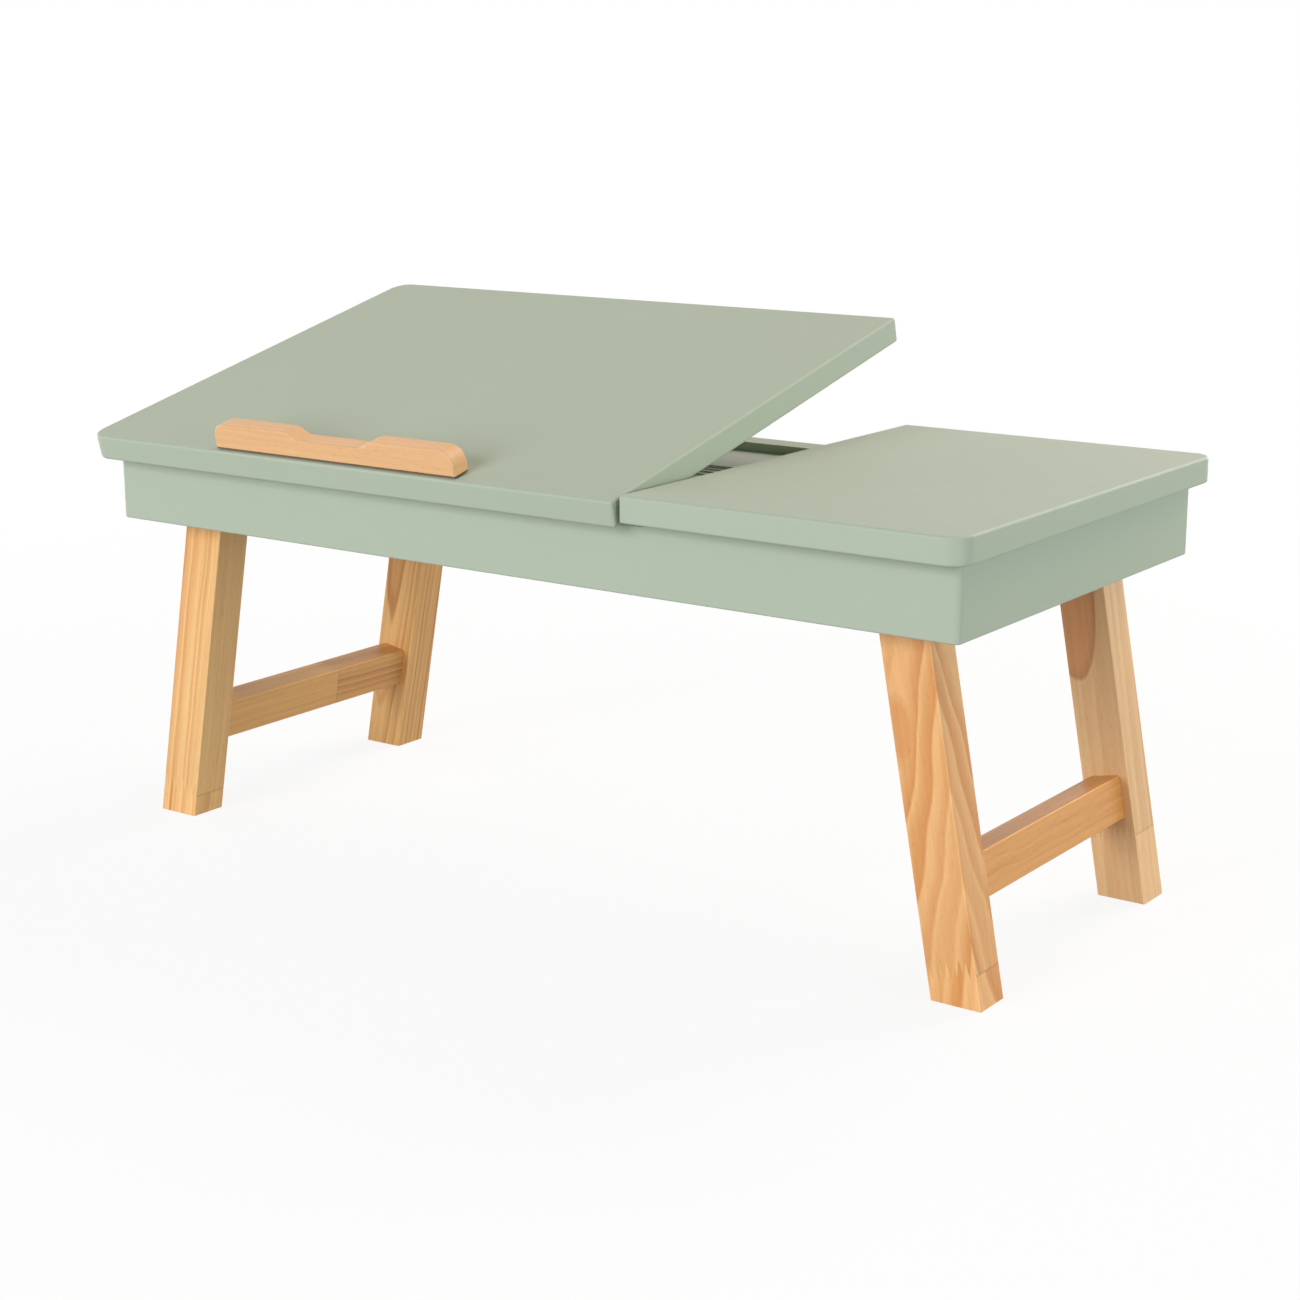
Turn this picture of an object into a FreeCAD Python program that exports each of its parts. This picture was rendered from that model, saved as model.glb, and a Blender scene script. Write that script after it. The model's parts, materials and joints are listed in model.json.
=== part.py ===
import FreeCAD, Part
import math
import os
import Sketcher
from FreeCAD import Placement, Rotation, Vector

# A folding laptop table. A shallow apron carries a fixed top on the right and a tilting reading panel
# on the left. The panel turns on a long hinge at its front edge and is held up by a wire bail, whose
# foot works along a grooved board inside the apron. Two splayed leg frames fold into the apron.
#
# X runs along the table, the front is at negative Y, Z is up, and the origin is on the floor
# under the middle of the table. The panel is shown raised and the legs are shown open.

# Driving sizes, in millimetres, with angles in degrees
SIZES = {
    # whole table
    "table_length": 600.0,
    "table_depth": 298.0,
    "table_height": 252.0,
    # tops
    "top_thickness": 15.0,
    "fixed_top_width": 201.5,
    "seam_gap": 2.0,
    "top_corner_radius": 12.0,
    "seam_corner_radius": 1.8,
    "top_edge_radius": 1.5,
    # apron
    "end_overhang": 8.0,
    "side_overhang": 14.0,
    "apron_height": 41.0,
    "apron_thickness": 18.0,
    "apron_corner_radius": 3.5,
    "apron_edge_radius": 1.0,
    "relief_runout": 7.0,
    "relief_corner_radius": 2.0,
    "closed_gap": 0.4,
    # support board
    "board_thickness": 5.0,
    "board_housing": 4.5,
    "groove_radius": 2.6,
    "groove_rise": 0.6,
    # tilt of the panel, at the first and the last groove
    "rest_tilt": 13.5,
    "steep_tilt": 35.0,
    # panel hinge
    "hinge_end_gap": 9.0,
    "knuckle_radius": 1.5,
    "knuckle_air": 0.2,
    "knuckle_gap": 0.4,
    "leaf_thickness": 0.9,
    "leaf_width": 16.0,
    "hinge_pin_radius": 0.8,
    "hinge_stand_off": 0.5,
    "hinge_screw_radius": 1.2,
    "hinge_screw_length": 10.0,
    "hinge_screw_inset": 10.0,
    # wire bail and its saddles
    "wire_radius": 2.5,
    "bail_back_gap": 54.0,
    "bail_width": 110.0,
    "bail_bend_radius": 9.0,
    "bail_neck": 3.0,
    "bail_air": 0.7,
    "foot_gap": 0.3,
    "journal_radius": 1.6,
    "journal_length": 16.0,
    "saddle_thickness": 0.7,
    "saddle_width": 12.0,
    "saddle_flange": 8.0,
    "saddle_screw_radius": 1.2,
    "saddle_screw_length": 9.0,
    "saddle_screw_head_radius": 2.3,
    "saddle_screw_head_height": 1.5,
    # book ledge
    "ledge_length": 182.0,
    "ledge_depth": 12.0,
    "ledge_height": 16.0,
    "ledge_low_height": 11.5,
    "ledge_raised_length": 56.0,
    "ledge_ramp_length": 14.0,
    "ledge_end_radius": 9.0,
    "ledge_edge_radius": 1.0,
    "ledge_foot_height": 0.8,
    "ledge_foot_inset": 1.5,
    "ledge_setback": 3.0,
    "ledge_screw_radius": 1.75,
    "ledge_screw_head_radius": 3.5,
    "ledge_screw_bite": 7.0,
    # leg frames
    "leg_width": 29.0,
    "leg_thickness": 25.0,
    "leg_splay": 10.5,
    "leg_edge_radius": 1.0,
    "leg_side_gap": 6.0,
    "pivot_inset": 30.0,
    "stretcher_height": 25.0,
    "stretcher_thickness": 18.0,
    "stretcher_rise": 61.0,
    "stretcher_edge_radius": 1.0,
    "stretcher_dowel_spacing": 12.0,
    # leg pivots
    "bolt_radius": 3.0,
    "bolt_head_radius": 6.0,
    "bolt_head_height": 4.0,
    "bolt_counterbore": 5.0,
    "counterbore_clearance": 1.0,
    "insert_radius": 4.75,
    "insert_length": 12.0,
    "bush_radius": 4.5,
    "spacer_radius": 8.0,
    # dowels
    "dowel_radius": 4.0,
    "dowel_length": 30.0,
    "dowel_face_depth": 12.0,
    "top_dowel_depth": 10.0,
    "stretcher_dowel_radius": 3.0,
    # clearances, and how far a cutting shape runs past what it cuts
    "glue_fit": 0.05,
    "run_fit": 0.05,
    "move_gap": 0.3,
    "overrun": 5.0,
}

# Counts
GROOVE_COUNT = 5
KNUCKLE_PAIRS = 9
HINGE_SCREW_COUNT = 6

# Places of the dowels, as shares of the apron's height and of the fixed top's width
CORNER_DOWEL_SHARES = (0.22, 0.55)
TOP_DOWEL_SHARES = (0.2, 0.8)

# Two lengths that differ by less than this are the same
SAME_SHARE = 1e-6

# Levels and faces, worked out from the driving sizes
HALF_LENGTH = "(Sizes.table_length / 2)"
HALF_DEPTH = "(Sizes.table_depth / 2)"
APRON_TOP = "(Sizes.table_height - Sizes.top_thickness)"
APRON_BOTTOM = f"({APRON_TOP} - Sizes.apron_height)"
APRON_END = f"({HALF_LENGTH} - Sizes.end_overhang)"
APRON_FACE = f"({HALF_DEPTH} - Sizes.side_overhang)"
INNER_END = f"({APRON_END} - Sizes.apron_thickness)"
INNER_FACE = f"({APRON_FACE} - Sizes.apron_thickness)"
SEAM = f"({HALF_LENGTH} - Sizes.fixed_top_width)"
PANEL_END = f"({SEAM} - Sizes.seam_gap)"
PANEL_MIDDLE = f"(({PANEL_END} - {HALF_LENGTH}) / 2)"
DOWEL_LINE = f"({APRON_FACE} - (Sizes.apron_thickness - Sizes.board_housing) / 2)"
END_DOWEL_LINE = f"({APRON_END} - (Sizes.apron_thickness - Sizes.board_housing) / 2)"
BOARD_TOP = f"({APRON_TOP} - 2 * Sizes.wire_radius - Sizes.bail_air - Sizes.foot_gap)"
BOARD_BOTTOM = f"({BOARD_TOP} - Sizes.board_thickness)"
LEAF_SEAT = "(Sizes.knuckle_radius + Sizes.knuckle_air)"
HINGE_Y = f"(-{APRON_FACE} - Sizes.hinge_stand_off - Sizes.knuckle_radius)"
HINGE_Z = f"({APRON_TOP} - {LEAF_SEAT})"
HINGE_LENGTH = f"({PANEL_END} + {HALF_LENGTH} - 2 * Sizes.hinge_end_gap)"
BAIL_DROP = f"(Sizes.wire_radius + Sizes.bail_air - {LEAF_SEAT})"
BAIL_REACH = f"(({INNER_FACE} - {HINGE_Y} - Sizes.bail_back_gap) / 2)"
PIVOT_X = f"({INNER_END} - Sizes.pivot_inset)"
PIVOT_Z = f"({BOARD_BOTTOM} - Sizes.move_gap - Sizes.leg_width / 2)"
LEG_FACE = f"({INNER_FACE} - Sizes.leg_side_gap)"
LEG_BACK = f"({LEG_FACE} - Sizes.leg_thickness)"
BOLT_SEAT = f"({LEG_BACK} + Sizes.bolt_counterbore)"
STRETCHER_MIDDLE = f"(Sizes.stretcher_rise - {PIVOT_Z} / cos(Sizes.leg_splay))"

doc = FreeCAD.newDocument("laptop_table")
sheet = doc.addObject("Spreadsheet::Sheet", "Sizes")
for row, (alias, size) in enumerate(SIZES.items(), start=1):
    sheet.set(f"A{row}", alias)
    sheet.set(f"B{row}", str(size))
    sheet.setAlias(f"B{row}", alias)
doc.recompute()

subparts = []


def number(expression):
    """The value of an expression written in the sheet's names."""
    return float(sheet.evalExpression(expression))


def keep(piece, label):
    """Name a finished piece and add it to the table's list."""
    piece.Label = label
    subparts.append(piece)
    return piece


def place(piece, x="0", y="0", z="0", axis=None, angle="0"):
    """Bind a piece's place, and its turn about an axis, to expressions."""
    if axis:
        piece.Placement = Placement(Vector(), Rotation(Vector(*axis), number(angle)))
        piece.setExpression("Placement.Rotation.Angle", angle)
    for name, value in (("x", x), ("y", y), ("z", z)):
        piece.setExpression(f"Placement.Base.{name}", value)
    return piece


def on_panel(piece):
    """Put a piece drawn about the hinge line, with the panel closed, on the raised panel."""
    return place(piece, y=HINGE_Y, z=HINGE_Z, axis=(1, 0, 0), angle="Sizes.rest_tilt")


def on_leg(piece, side):
    """Put a piece drawn about the leg pivot, with the leg upright, on the splayed leg frame."""
    return place(piece, x=f"{side} * {PIVOT_X}", z=PIVOT_Z, axis=(0, 1, 0),
                 angle=f"{-side} * Sizes.leg_splay")


def new_body(name):
    """An empty body."""
    return doc.addObject("PartDesign::Body", name)


def new_sketch(body, name, plane, level="0"):
    """A sketch on one of the body's origin planes, moved along that plane's normal."""
    sketch = body.newObject("Sketcher::SketchObject", f"{body.Name}_{name}")
    support = next(part for part in body.Origin.OriginFeatures if part.Role == plane)
    sketch.AttachmentSupport = [(support, "")]
    sketch.MapMode = "FlatFace"
    sketch.setExpression("AttachmentOffset.Base.z", level)
    return sketch


def drive(sketch, kind, edge, point, expression):
    """Bind one coordinate of a sketch point to an expression."""
    spot = Sketcher.Constraint(kind, -1, 1, edge, point, number(expression))
    index = sketch.addConstraint(spot)
    sketch.setExpression(f"Constraints[{index}]", expression)


def arc_about(centre, start, end, turn):
    """An arc from start to end, turning left or right about its centre, with its start and end numbers."""
    first, last = (start, end) if turn == "left" else (end, start)
    first_angle = math.atan2(first.y - centre.y, first.x - centre.x)
    last_angle = math.atan2(last.y - centre.y, last.x - centre.x)
    if last_angle <= first_angle:
        last_angle += 2 * math.pi
    circle = Part.Circle(centre, Vector(0, 0, 1), (first - centre).Length)
    arc = Part.ArcOfCircle(circle, first_angle, last_angle)
    return arc, (1, 2) if turn == "left" else (2, 1)


def outline(sketch, corners, closed=True):
    """Draw lines and arcs through corners whose places are expressions.

    A corner is (x, y), reached by a line, or (x, y, centre_x, centre_y, turn), reached by an arc.
    """
    spots = [Vector(number(corner[0]), number(corner[1]), 0) for corner in corners]
    runs = []
    for index in range(0 if closed else 1, len(corners)):
        start, end, corner = spots[index - 1], spots[index], corners[index]
        if len(corner) == 2:
            edge = sketch.addGeometry(Part.LineSegment(start, end))
            runs.append((edge, 1, 2, corner))
            continue
        centre = Vector(number(corner[2]), number(corner[3]), 0)
        arc, (first, last) = arc_about(centre, start, end, corner[4])
        edge = sketch.addGeometry(arc)
        runs.append((edge, first, last, corner))
    for (edge, first, last, corner), before in zip(runs, [runs[-1]] + runs[:-1]):
        if closed or before is not runs[-1]:
            sketch.addConstraint(Sketcher.Constraint("Coincident", before[0], before[2], edge, first))
        drive(sketch, "DistanceX", edge, last, corner[0])
        drive(sketch, "DistanceY", edge, last, corner[1])
    if not closed:
        drive(sketch, "DistanceX", runs[0][0], runs[0][1], corners[0][0])
        drive(sketch, "DistanceY", runs[0][0], runs[0][1], corners[0][1])
    for edge, first, last, corner in runs:
        if len(corner) > 2:
            chord = sketch.getPoint(edge, 2) - sketch.getPoint(edge, 1)
            across = abs(chord.y) > abs(chord.x)
            drive(sketch, "DistanceX" if across else "DistanceY", edge, 3, corner[2 if across else 3])
    return sketch


def rectangle(sketch, left, low, right, high):
    """Draw a rectangle between expressions."""
    return outline(sketch, [(left, low), (right, low), (right, high), (left, high)])


def circles(sketch, centres, radius):
    """Draw a circle of one radius about each centre."""
    for x, y in centres:
        middle = Vector(number(x), number(y), 0)
        edge = sketch.addGeometry(Part.Circle(middle, Vector(0, 0, 1), number(radius)))
        index = sketch.addConstraint(Sketcher.Constraint("Radius", edge, number(radius)))
        sketch.setExpression(f"Constraints[{index}]", radius)
        drive(sketch, "DistanceX", edge, 3, x)
        drive(sketch, "DistanceY", edge, 3, y)
    return sketch


def pad(body, sketch, length, against=False):
    """Raise a sketch along its plane's normal, or against it."""
    feature = body.newObject("PartDesign::Pad", f"{sketch.Name}_pad")
    feature.Profile = sketch
    feature.setExpression("Length", length)
    feature.Reversed = against
    doc.recompute()
    return feature


def pocket(body, sketch, depth=None, along=False):
    """Cut a sketch into the body against its plane's normal, or along it, to a depth or right through."""
    before = body.Shape.Volume
    feature = body.newObject("PartDesign::Pocket", f"{sketch.Name}_cut")
    feature.Profile = sketch
    feature.Reversed = along
    if depth:
        feature.setExpression("Length", depth)
    else:
        feature.Type = "ThroughAll"
    doc.recompute()
    if body.Shape.Volume >= before:
        raise RuntimeError(f"{feature.Name} cuts nothing")
    return feature


def fillet(body, feature, radius, wanted):
    """Round the edges of a feature that pass a test."""
    names = [f"Edge{count}" for count, edge in enumerate(feature.Shape.Edges, start=1) if wanted(edge)]
    rounded = body.newObject("PartDesign::Fillet", f"{feature.Name}_round")
    rounded.Base = (feature, names)
    rounded.setExpression("Radius", radius)
    doc.recompute()
    return rounded


def same(first, second):
    """Whether two lengths agree, next to the table's length."""
    return abs(first - second) < SAME_SHARE * SIZES["table_length"]


def upright_at(x, y):
    """A test for upright edges that stand at a place in plan."""
    return lambda edge: all(same(end.X, x) and same(end.Y, y) for end in edge.Vertexes)


def level_at(*heights):
    """A test for edges that lie flat at one of some heights."""
    return lambda edge: any(all(same(end.Z, height) for end in edge.Vertexes) for height in heights)


def rounded_plan(left, right, half_depth, left_radius, right_radius):
    """A rectangle in plan with one corner radius at its left end and another at its right end."""
    far_left = f"({left} + {left_radius})"
    far_right = f"({right} - {right_radius})"
    left_y = f"({half_depth} - {left_radius})"
    right_y = f"({half_depth} - {right_radius})"
    return [
        (far_left, f"-{half_depth}", far_left, f"-{left_y}", "left"),
        (far_right, f"-{half_depth}"),
        (right, f"-{right_y}", far_right, f"-{right_y}", "left"),
        (right, right_y),
        (far_right, half_depth, far_right, right_y, "left"),
        (far_left, half_depth),
        (left, left_y, far_left, left_y, "left"),
        (left, f"-{left_y}"),
    ]


def rod(name, radius, length, x="0", y="0", z="0", along="z"):
    """A round rod that starts at a place and runs along an axis, given as x, y, z or -y."""
    turns = {"z": ((0, 0, 1), 0), "x": ((0, 1, 0), 90), "y": ((1, 0, 0), -90), "-y": ((1, 0, 0), 90)}
    piece = doc.addObject("Part::Cylinder", name)
    piece.setExpression("Radius", radius)
    piece.setExpression("Height", length)
    axis, angle = turns[along]
    piece.Placement = Placement(Vector(), Rotation(Vector(*axis), angle))
    return place(piece, x, y, z)


def tube(name, radius, bore, length, **where):
    """A rod with a bore right through it."""
    piece = doc.addObject("Part::Cut", name)
    piece.Base = rod(f"{name}_outside", radius, length, **where)
    piece.Tool = rod(f"{name}_bore", bore, length, **where)
    return piece


def countersunk_screw(name, radius, head_radius, length, x, y, z, upward):
    """A countersunk screw whose head lies flush at a level, driven up or down."""
    head = doc.addObject("Part::Cone", f"{name}_head")
    head.setExpression("Radius1", head_radius)
    head.setExpression("Radius2", radius)
    head.setExpression("Height", f"{head_radius} - {radius}")
    shank = rod(f"{name}_shank", radius, length)
    screw = doc.addObject("Part::Fuse", name)
    screw.Base = head
    screw.Tool = shank
    if not upward:
        screw.Placement = Placement(Vector(), Rotation(Vector(1, 0, 0), 180))
    return place(screw, x, y, z)


def group(label, pieces):
    """Keep like pieces together as separate solids of one part."""
    members = doc.addObject("Part::Compound", label)
    members.Links = pieces
    return keep(members, label)


def spread(middle, span, count):
    """Evenly spaced places along a span, each in the middle of its share."""
    return [f"({middle} + {span} * {(2 * step + 1 - count) / (2 * count)})" for step in range(count)]


# Apron


def corner_dowel_levels():
    """Heights of the dowels that join the apron's corners."""
    return [f"({APRON_BOTTOM} + Sizes.apron_height * {share})" for share in CORNER_DOWEL_SHARES]


def top_dowel_places():
    """Places along the table of the dowels between the long apron boards and the fixed top."""
    return [f"({SEAM} + Sizes.fixed_top_width * {share})" for share in TOP_DOWEL_SHARES]


def long_apron(label, side):
    """The front (side -1) or back (side 1) board: relieved under the panel, housed for the support board."""
    body = new_body(label)
    plan = new_sketch(body, "plan", "XY_Plane", APRON_BOTTOM)
    faces = [f"{side} * {INNER_FACE}", f"{side} * {APRON_FACE}"]
    low, high = faces if side > 0 else faces[::-1]
    rectangle(plan, f"-{APRON_END}", low, APRON_END, high)
    board = pad(body, plan, "Sizes.apron_height")
    ends = [upright_at(end * number(APRON_END), side * number(APRON_FACE)) for end in (-1, 1)]
    board = fillet(body, board, "Sizes.apron_corner_radius", lambda edge: any(test(edge) for test in ends))
    inside_line = side * number(INNER_FACE)
    fillet(body, board, "Sizes.apron_edge_radius", lambda edge: level_at(number(APRON_BOTTOM))(edge)
           and not all(same(spot.Y, inside_line) for spot in edge.Vertexes))

    relief = new_sketch(body, "relief", "XZ_Plane")
    depth = f"(2 * {LEAF_SEAT})" if side < 0 else "Sizes.closed_gap"
    left, right = f"(-{APRON_END} - Sizes.overrun)", f"({SEAM} + Sizes.relief_runout)"
    floor, above = f"({APRON_TOP} - {depth})", f"({APRON_TOP} + Sizes.overrun)"
    curve_x = f"({right} - Sizes.relief_corner_radius)"
    curve_z = f"({floor} + Sizes.relief_corner_radius)"
    outline(relief, [(left, floor), (curve_x, floor), (right, curve_z, curve_x, curve_z, "left"),
                     (right, above), (left, above)])
    pocket(body, relief, along=side < 0)

    inside = f"{-side} * {INNER_FACE}"
    housing = new_sketch(body, "housing", "XZ_Plane", inside)
    stop = f"({INNER_END} + Sizes.board_housing)"
    rectangle(housing, f"-{stop}", f"{BOARD_BOTTOM} - Sizes.glue_fit", stop, f"{BOARD_TOP} + Sizes.glue_fit")
    pocket(body, housing, "Sizes.board_housing", along=side < 0)

    corners = new_sketch(body, "corner_holes", "XZ_Plane", inside)
    middle = f"({APRON_END} - Sizes.apron_thickness / 2)"
    spots = [(f"{end} * {middle}", level) for end in (-1, 1) for level in corner_dowel_levels()]
    circles(corners, spots, "Sizes.dowel_radius + Sizes.glue_fit")
    pocket(body, corners, "Sizes.dowel_face_depth", along=side < 0)

    pivots = new_sketch(body, "insert_holes", "XZ_Plane", inside)
    circles(pivots, [(f"{end} * {PIVOT_X}", PIVOT_Z) for end in (-1, 1)], "Sizes.insert_radius + Sizes.glue_fit")
    pocket(body, pivots, "Sizes.insert_length", along=side < 0)

    tops = new_sketch(body, "top_holes", "XY_Plane", APRON_TOP)
    spots = [(x, f"{side} * {DOWEL_LINE}") for x in top_dowel_places()]
    circles(tops, spots, "Sizes.dowel_radius + Sizes.glue_fit")
    pocket(body, tops, "Sizes.dowel_length - Sizes.top_dowel_depth")

    if side < 0:
        screws = new_sketch(body, "screw_holes", "XY_Plane", f"{APRON_TOP} - 2 * {LEAF_SEAT}")
        row = f"{HINGE_Y} + Sizes.hinge_screw_inset"
        circles(screws, [(x, row) for x in hinge_screw_places()], "Sizes.hinge_screw_radius + Sizes.glue_fit")
        pocket(body, screws, "Sizes.hinge_screw_length")
    return keep(body, label)


def end_apron(label, side):
    """The left (side -1) or right (side 1) board, between the long ones."""
    body = new_body(label)
    plan = new_sketch(body, "plan", "XY_Plane", APRON_BOTTOM)
    faces = [f"{side} * {INNER_END}", f"{side} * {APRON_END}"]
    low, high = faces if side > 0 else faces[::-1]
    rectangle(plan, low, f"-{INNER_FACE}", high, INNER_FACE)
    board = pad(body, plan, "Sizes.apron_height" if side > 0 else "Sizes.apron_height - Sizes.closed_gap")
    outer_face = side * number(APRON_END)
    fillet(body, board, "Sizes.apron_edge_radius", lambda edge: level_at(number(APRON_BOTTOM))(edge)
           and all(same(spot.X, outer_face) for spot in edge.Vertexes))

    housing = new_sketch(body, "housing", "YZ_Plane", f"{side} * {INNER_END}")
    rectangle(housing, f"-{INNER_FACE} - Sizes.overrun", f"{BOARD_BOTTOM} - Sizes.glue_fit",
              f"{INNER_FACE} + Sizes.overrun", f"{BOARD_TOP} + Sizes.glue_fit")
    pocket(body, housing, "Sizes.board_housing", along=side > 0)

    middle = f"{side} * ({APRON_END} - Sizes.apron_thickness / 2)"
    for name, end in (("front", -1), ("back", 1)):
        holes = new_sketch(body, f"{name}_holes", "XZ_Plane", f"{-end} * {INNER_FACE}")
        circles(holes, [(middle, level) for level in corner_dowel_levels()], "Sizes.dowel_radius + Sizes.glue_fit")
        pocket(body, holes, "Sizes.dowel_length - Sizes.dowel_face_depth", along=end > 0)
    if side > 0:
        top = new_sketch(body, "top_hole", "XY_Plane", APRON_TOP)
        circles(top, [(END_DOWEL_LINE, "0")], "Sizes.dowel_radius + Sizes.glue_fit")
        pocket(body, top, "Sizes.dowel_length - Sizes.top_dowel_depth")
    return keep(body, label)


def apron_dowels():
    """Dowels across the four corners of the apron."""
    pins = []
    for end in (-1, 1):
        for side in (-1, 1):
            for level in corner_dowel_levels():
                start = f"{side} * ({INNER_FACE} + Sizes.dowel_face_depth)"
                x = f"{end} * ({APRON_END} - Sizes.apron_thickness / 2)"
                pins.append(rod(f"corner_dowel_{len(pins)}", "Sizes.dowel_radius", "Sizes.dowel_length",
                                x=x, y=start, z=level, along="-y" if side > 0 else "y"))
    return group("apron_dowels", pins)


def support_board():
    """The thin board inside the apron, grooved along its length for the bail's foot."""
    body = new_body("support_board")
    plan = new_sketch(body, "plan", "XY_Plane", BOARD_BOTTOM)
    reach_x = f"({INNER_END} + Sizes.board_housing - Sizes.glue_fit)"
    reach_y = f"({INNER_FACE} + Sizes.board_housing - Sizes.glue_fit)"
    rectangle(plan, f"-{reach_x}", f"-{reach_y}", reach_x, reach_y)
    pad(body, plan, "Sizes.board_thickness")
    for count, y in enumerate(groove_places()):
        groove = new_sketch(body, f"groove_{count}", "YZ_Plane", f"{reach_x} + Sizes.overrun")
        circles(groove, [(y, f"{BOARD_TOP} + Sizes.groove_rise")], "Sizes.groove_radius")
        pocket(body, groove)
    return keep(body, "support_board")


def groove_places():
    """Where the bail's foot comes down at each tilt of the panel."""
    places = []
    for step in range(GROOVE_COUNT):
        share = step / (GROOVE_COUNT - 1)
        tilt = f"(Sizes.rest_tilt + (Sizes.steep_tilt - Sizes.rest_tilt) * {share})"
        places.append(f"({HINGE_Y} + 2 * {BAIL_REACH} * cos({tilt}) + {BAIL_DROP} * sin({tilt}))")
    return places


# Tops


def fixed_top():
    """The fixed right part of the top, doweled to the apron."""
    body = new_body("fixed_top")
    plan = new_sketch(body, "plan", "XY_Plane", APRON_TOP)
    outline(plan, rounded_plan(SEAM, HALF_LENGTH, HALF_DEPTH, "Sizes.seam_corner_radius", "Sizes.top_corner_radius"))
    board = pad(body, plan, "Sizes.top_thickness")
    fillet(body, board, "Sizes.top_edge_radius", level_at(number(APRON_TOP), number("Sizes.table_height")))
    holes = new_sketch(body, "dowel_holes", "XY_Plane", APRON_TOP)
    circles(holes, fixed_top_dowel_places(), "Sizes.dowel_radius + Sizes.glue_fit")
    pocket(body, holes, "Sizes.top_dowel_depth", along=True)
    return keep(body, "fixed_top")


def fixed_top_dowel_places():
    """Places in plan of the dowels under the fixed top."""
    sides = [(x, f"{side} * {DOWEL_LINE}") for x in top_dowel_places() for side in (-1, 1)]
    return sides + [(END_DOWEL_LINE, "0")]


def fixed_top_dowels():
    """Dowels that stand in the apron and hold the fixed top."""
    foot = f"{APRON_TOP} + Sizes.top_dowel_depth - Sizes.dowel_length"
    pins = [rod(f"top_dowel_{count}", "Sizes.dowel_radius", "Sizes.dowel_length", x=x, y=y, z=foot)
            for count, (x, y) in enumerate(fixed_top_dowel_places())]
    return group("fixed_top_dowels", pins)


def panel_front():
    """The panel's front edge, measured from the hinge line."""
    return f"(-{HALF_DEPTH} - {HINGE_Y})"


def ledge_screw_places():
    """Places along the panel of the ledge's screws, under its raised ends."""
    offset = "(Sizes.ledge_length - Sizes.ledge_raised_length) / 2"
    return [f"({PANEL_MIDDLE} + {end} * {offset})" for end in (-1, 1)]


def ledge_screw_line():
    """The line of the ledge's screws, measured from the hinge line."""
    return f"({panel_front()} + Sizes.ledge_setback + Sizes.ledge_depth / 2)"


def saddle_places():
    """Places along the panel of the two saddles."""
    offset = "(Sizes.bail_width / 2 + Sizes.bail_bend_radius + Sizes.bail_neck + Sizes.journal_length / 2)"
    return [f"({PANEL_MIDDLE} + {end} * {offset})" for end in (-1, 1)]


def saddle_screw_lines():
    """The two lines of the saddles' screws, measured from the hinge line."""
    offset = "(Sizes.journal_radius + Sizes.run_fit + Sizes.saddle_thickness + Sizes.saddle_flange / 2)"
    return [f"({BAIL_REACH} + {end} * {offset})" for end in (-1, 1)]


def tilt_panel():
    """The tilting left part of the top, drawn closed about the hinge line."""
    body = new_body("tilt_panel")
    plan = new_sketch(body, "plan", "XY_Plane", LEAF_SEAT)
    corners = rounded_plan(f"-{HALF_LENGTH}", PANEL_END, HALF_DEPTH, "Sizes.top_corner_radius",
                           "Sizes.seam_corner_radius")
    shifted = []
    for corner in corners:
        moved = list(corner)
        moved[1] = f"({corner[1]} - {HINGE_Y})"
        if len(corner) > 2:
            moved[3] = f"({corner[3]} - {HINGE_Y})"
        shifted.append(tuple(moved))
    outline(plan, shifted)
    board = pad(body, plan, "Sizes.top_thickness")
    faces = (number(LEAF_SEAT), number(f"{LEAF_SEAT} + Sizes.top_thickness"))
    fillet(body, board, "Sizes.top_edge_radius", level_at(*faces))

    hinge = new_sketch(body, "hinge_holes", "XY_Plane", LEAF_SEAT)
    circles(hinge, [(x, "Sizes.hinge_screw_inset") for x in hinge_screw_places()],
            "Sizes.hinge_screw_radius + Sizes.glue_fit")
    pocket(body, hinge, "Sizes.hinge_screw_length", along=True)

    saddles = new_sketch(body, "saddle_holes", "XY_Plane", LEAF_SEAT)
    circles(saddles, [(x, y) for x in saddle_places() for y in saddle_screw_lines()],
            "Sizes.saddle_screw_radius + Sizes.glue_fit")
    pocket(body, saddles, "Sizes.saddle_screw_length", along=True)

    ledge = new_sketch(body, "ledge_holes", "XY_Plane", LEAF_SEAT)
    spots = [(x, ledge_screw_line()) for x in ledge_screw_places()]
    circles(ledge, spots, "Sizes.ledge_screw_radius + Sizes.glue_fit")
    pocket(body, ledge, along=True)
    for count, (x, y) in enumerate(spots):
        sink = body.newObject("PartDesign::SubtractiveCone", f"ledge_countersink_{count}")
        sink.setExpression("Radius1", "Sizes.ledge_screw_head_radius + Sizes.glue_fit")
        sink.setExpression("Radius2", "Sizes.ledge_screw_radius + Sizes.glue_fit")
        sink.setExpression("Height", "Sizes.ledge_screw_head_radius - Sizes.ledge_screw_radius")
        place(sink, x, y, LEAF_SEAT)
        doc.recompute()
    return keep(on_panel(body), "tilt_panel")


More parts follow.
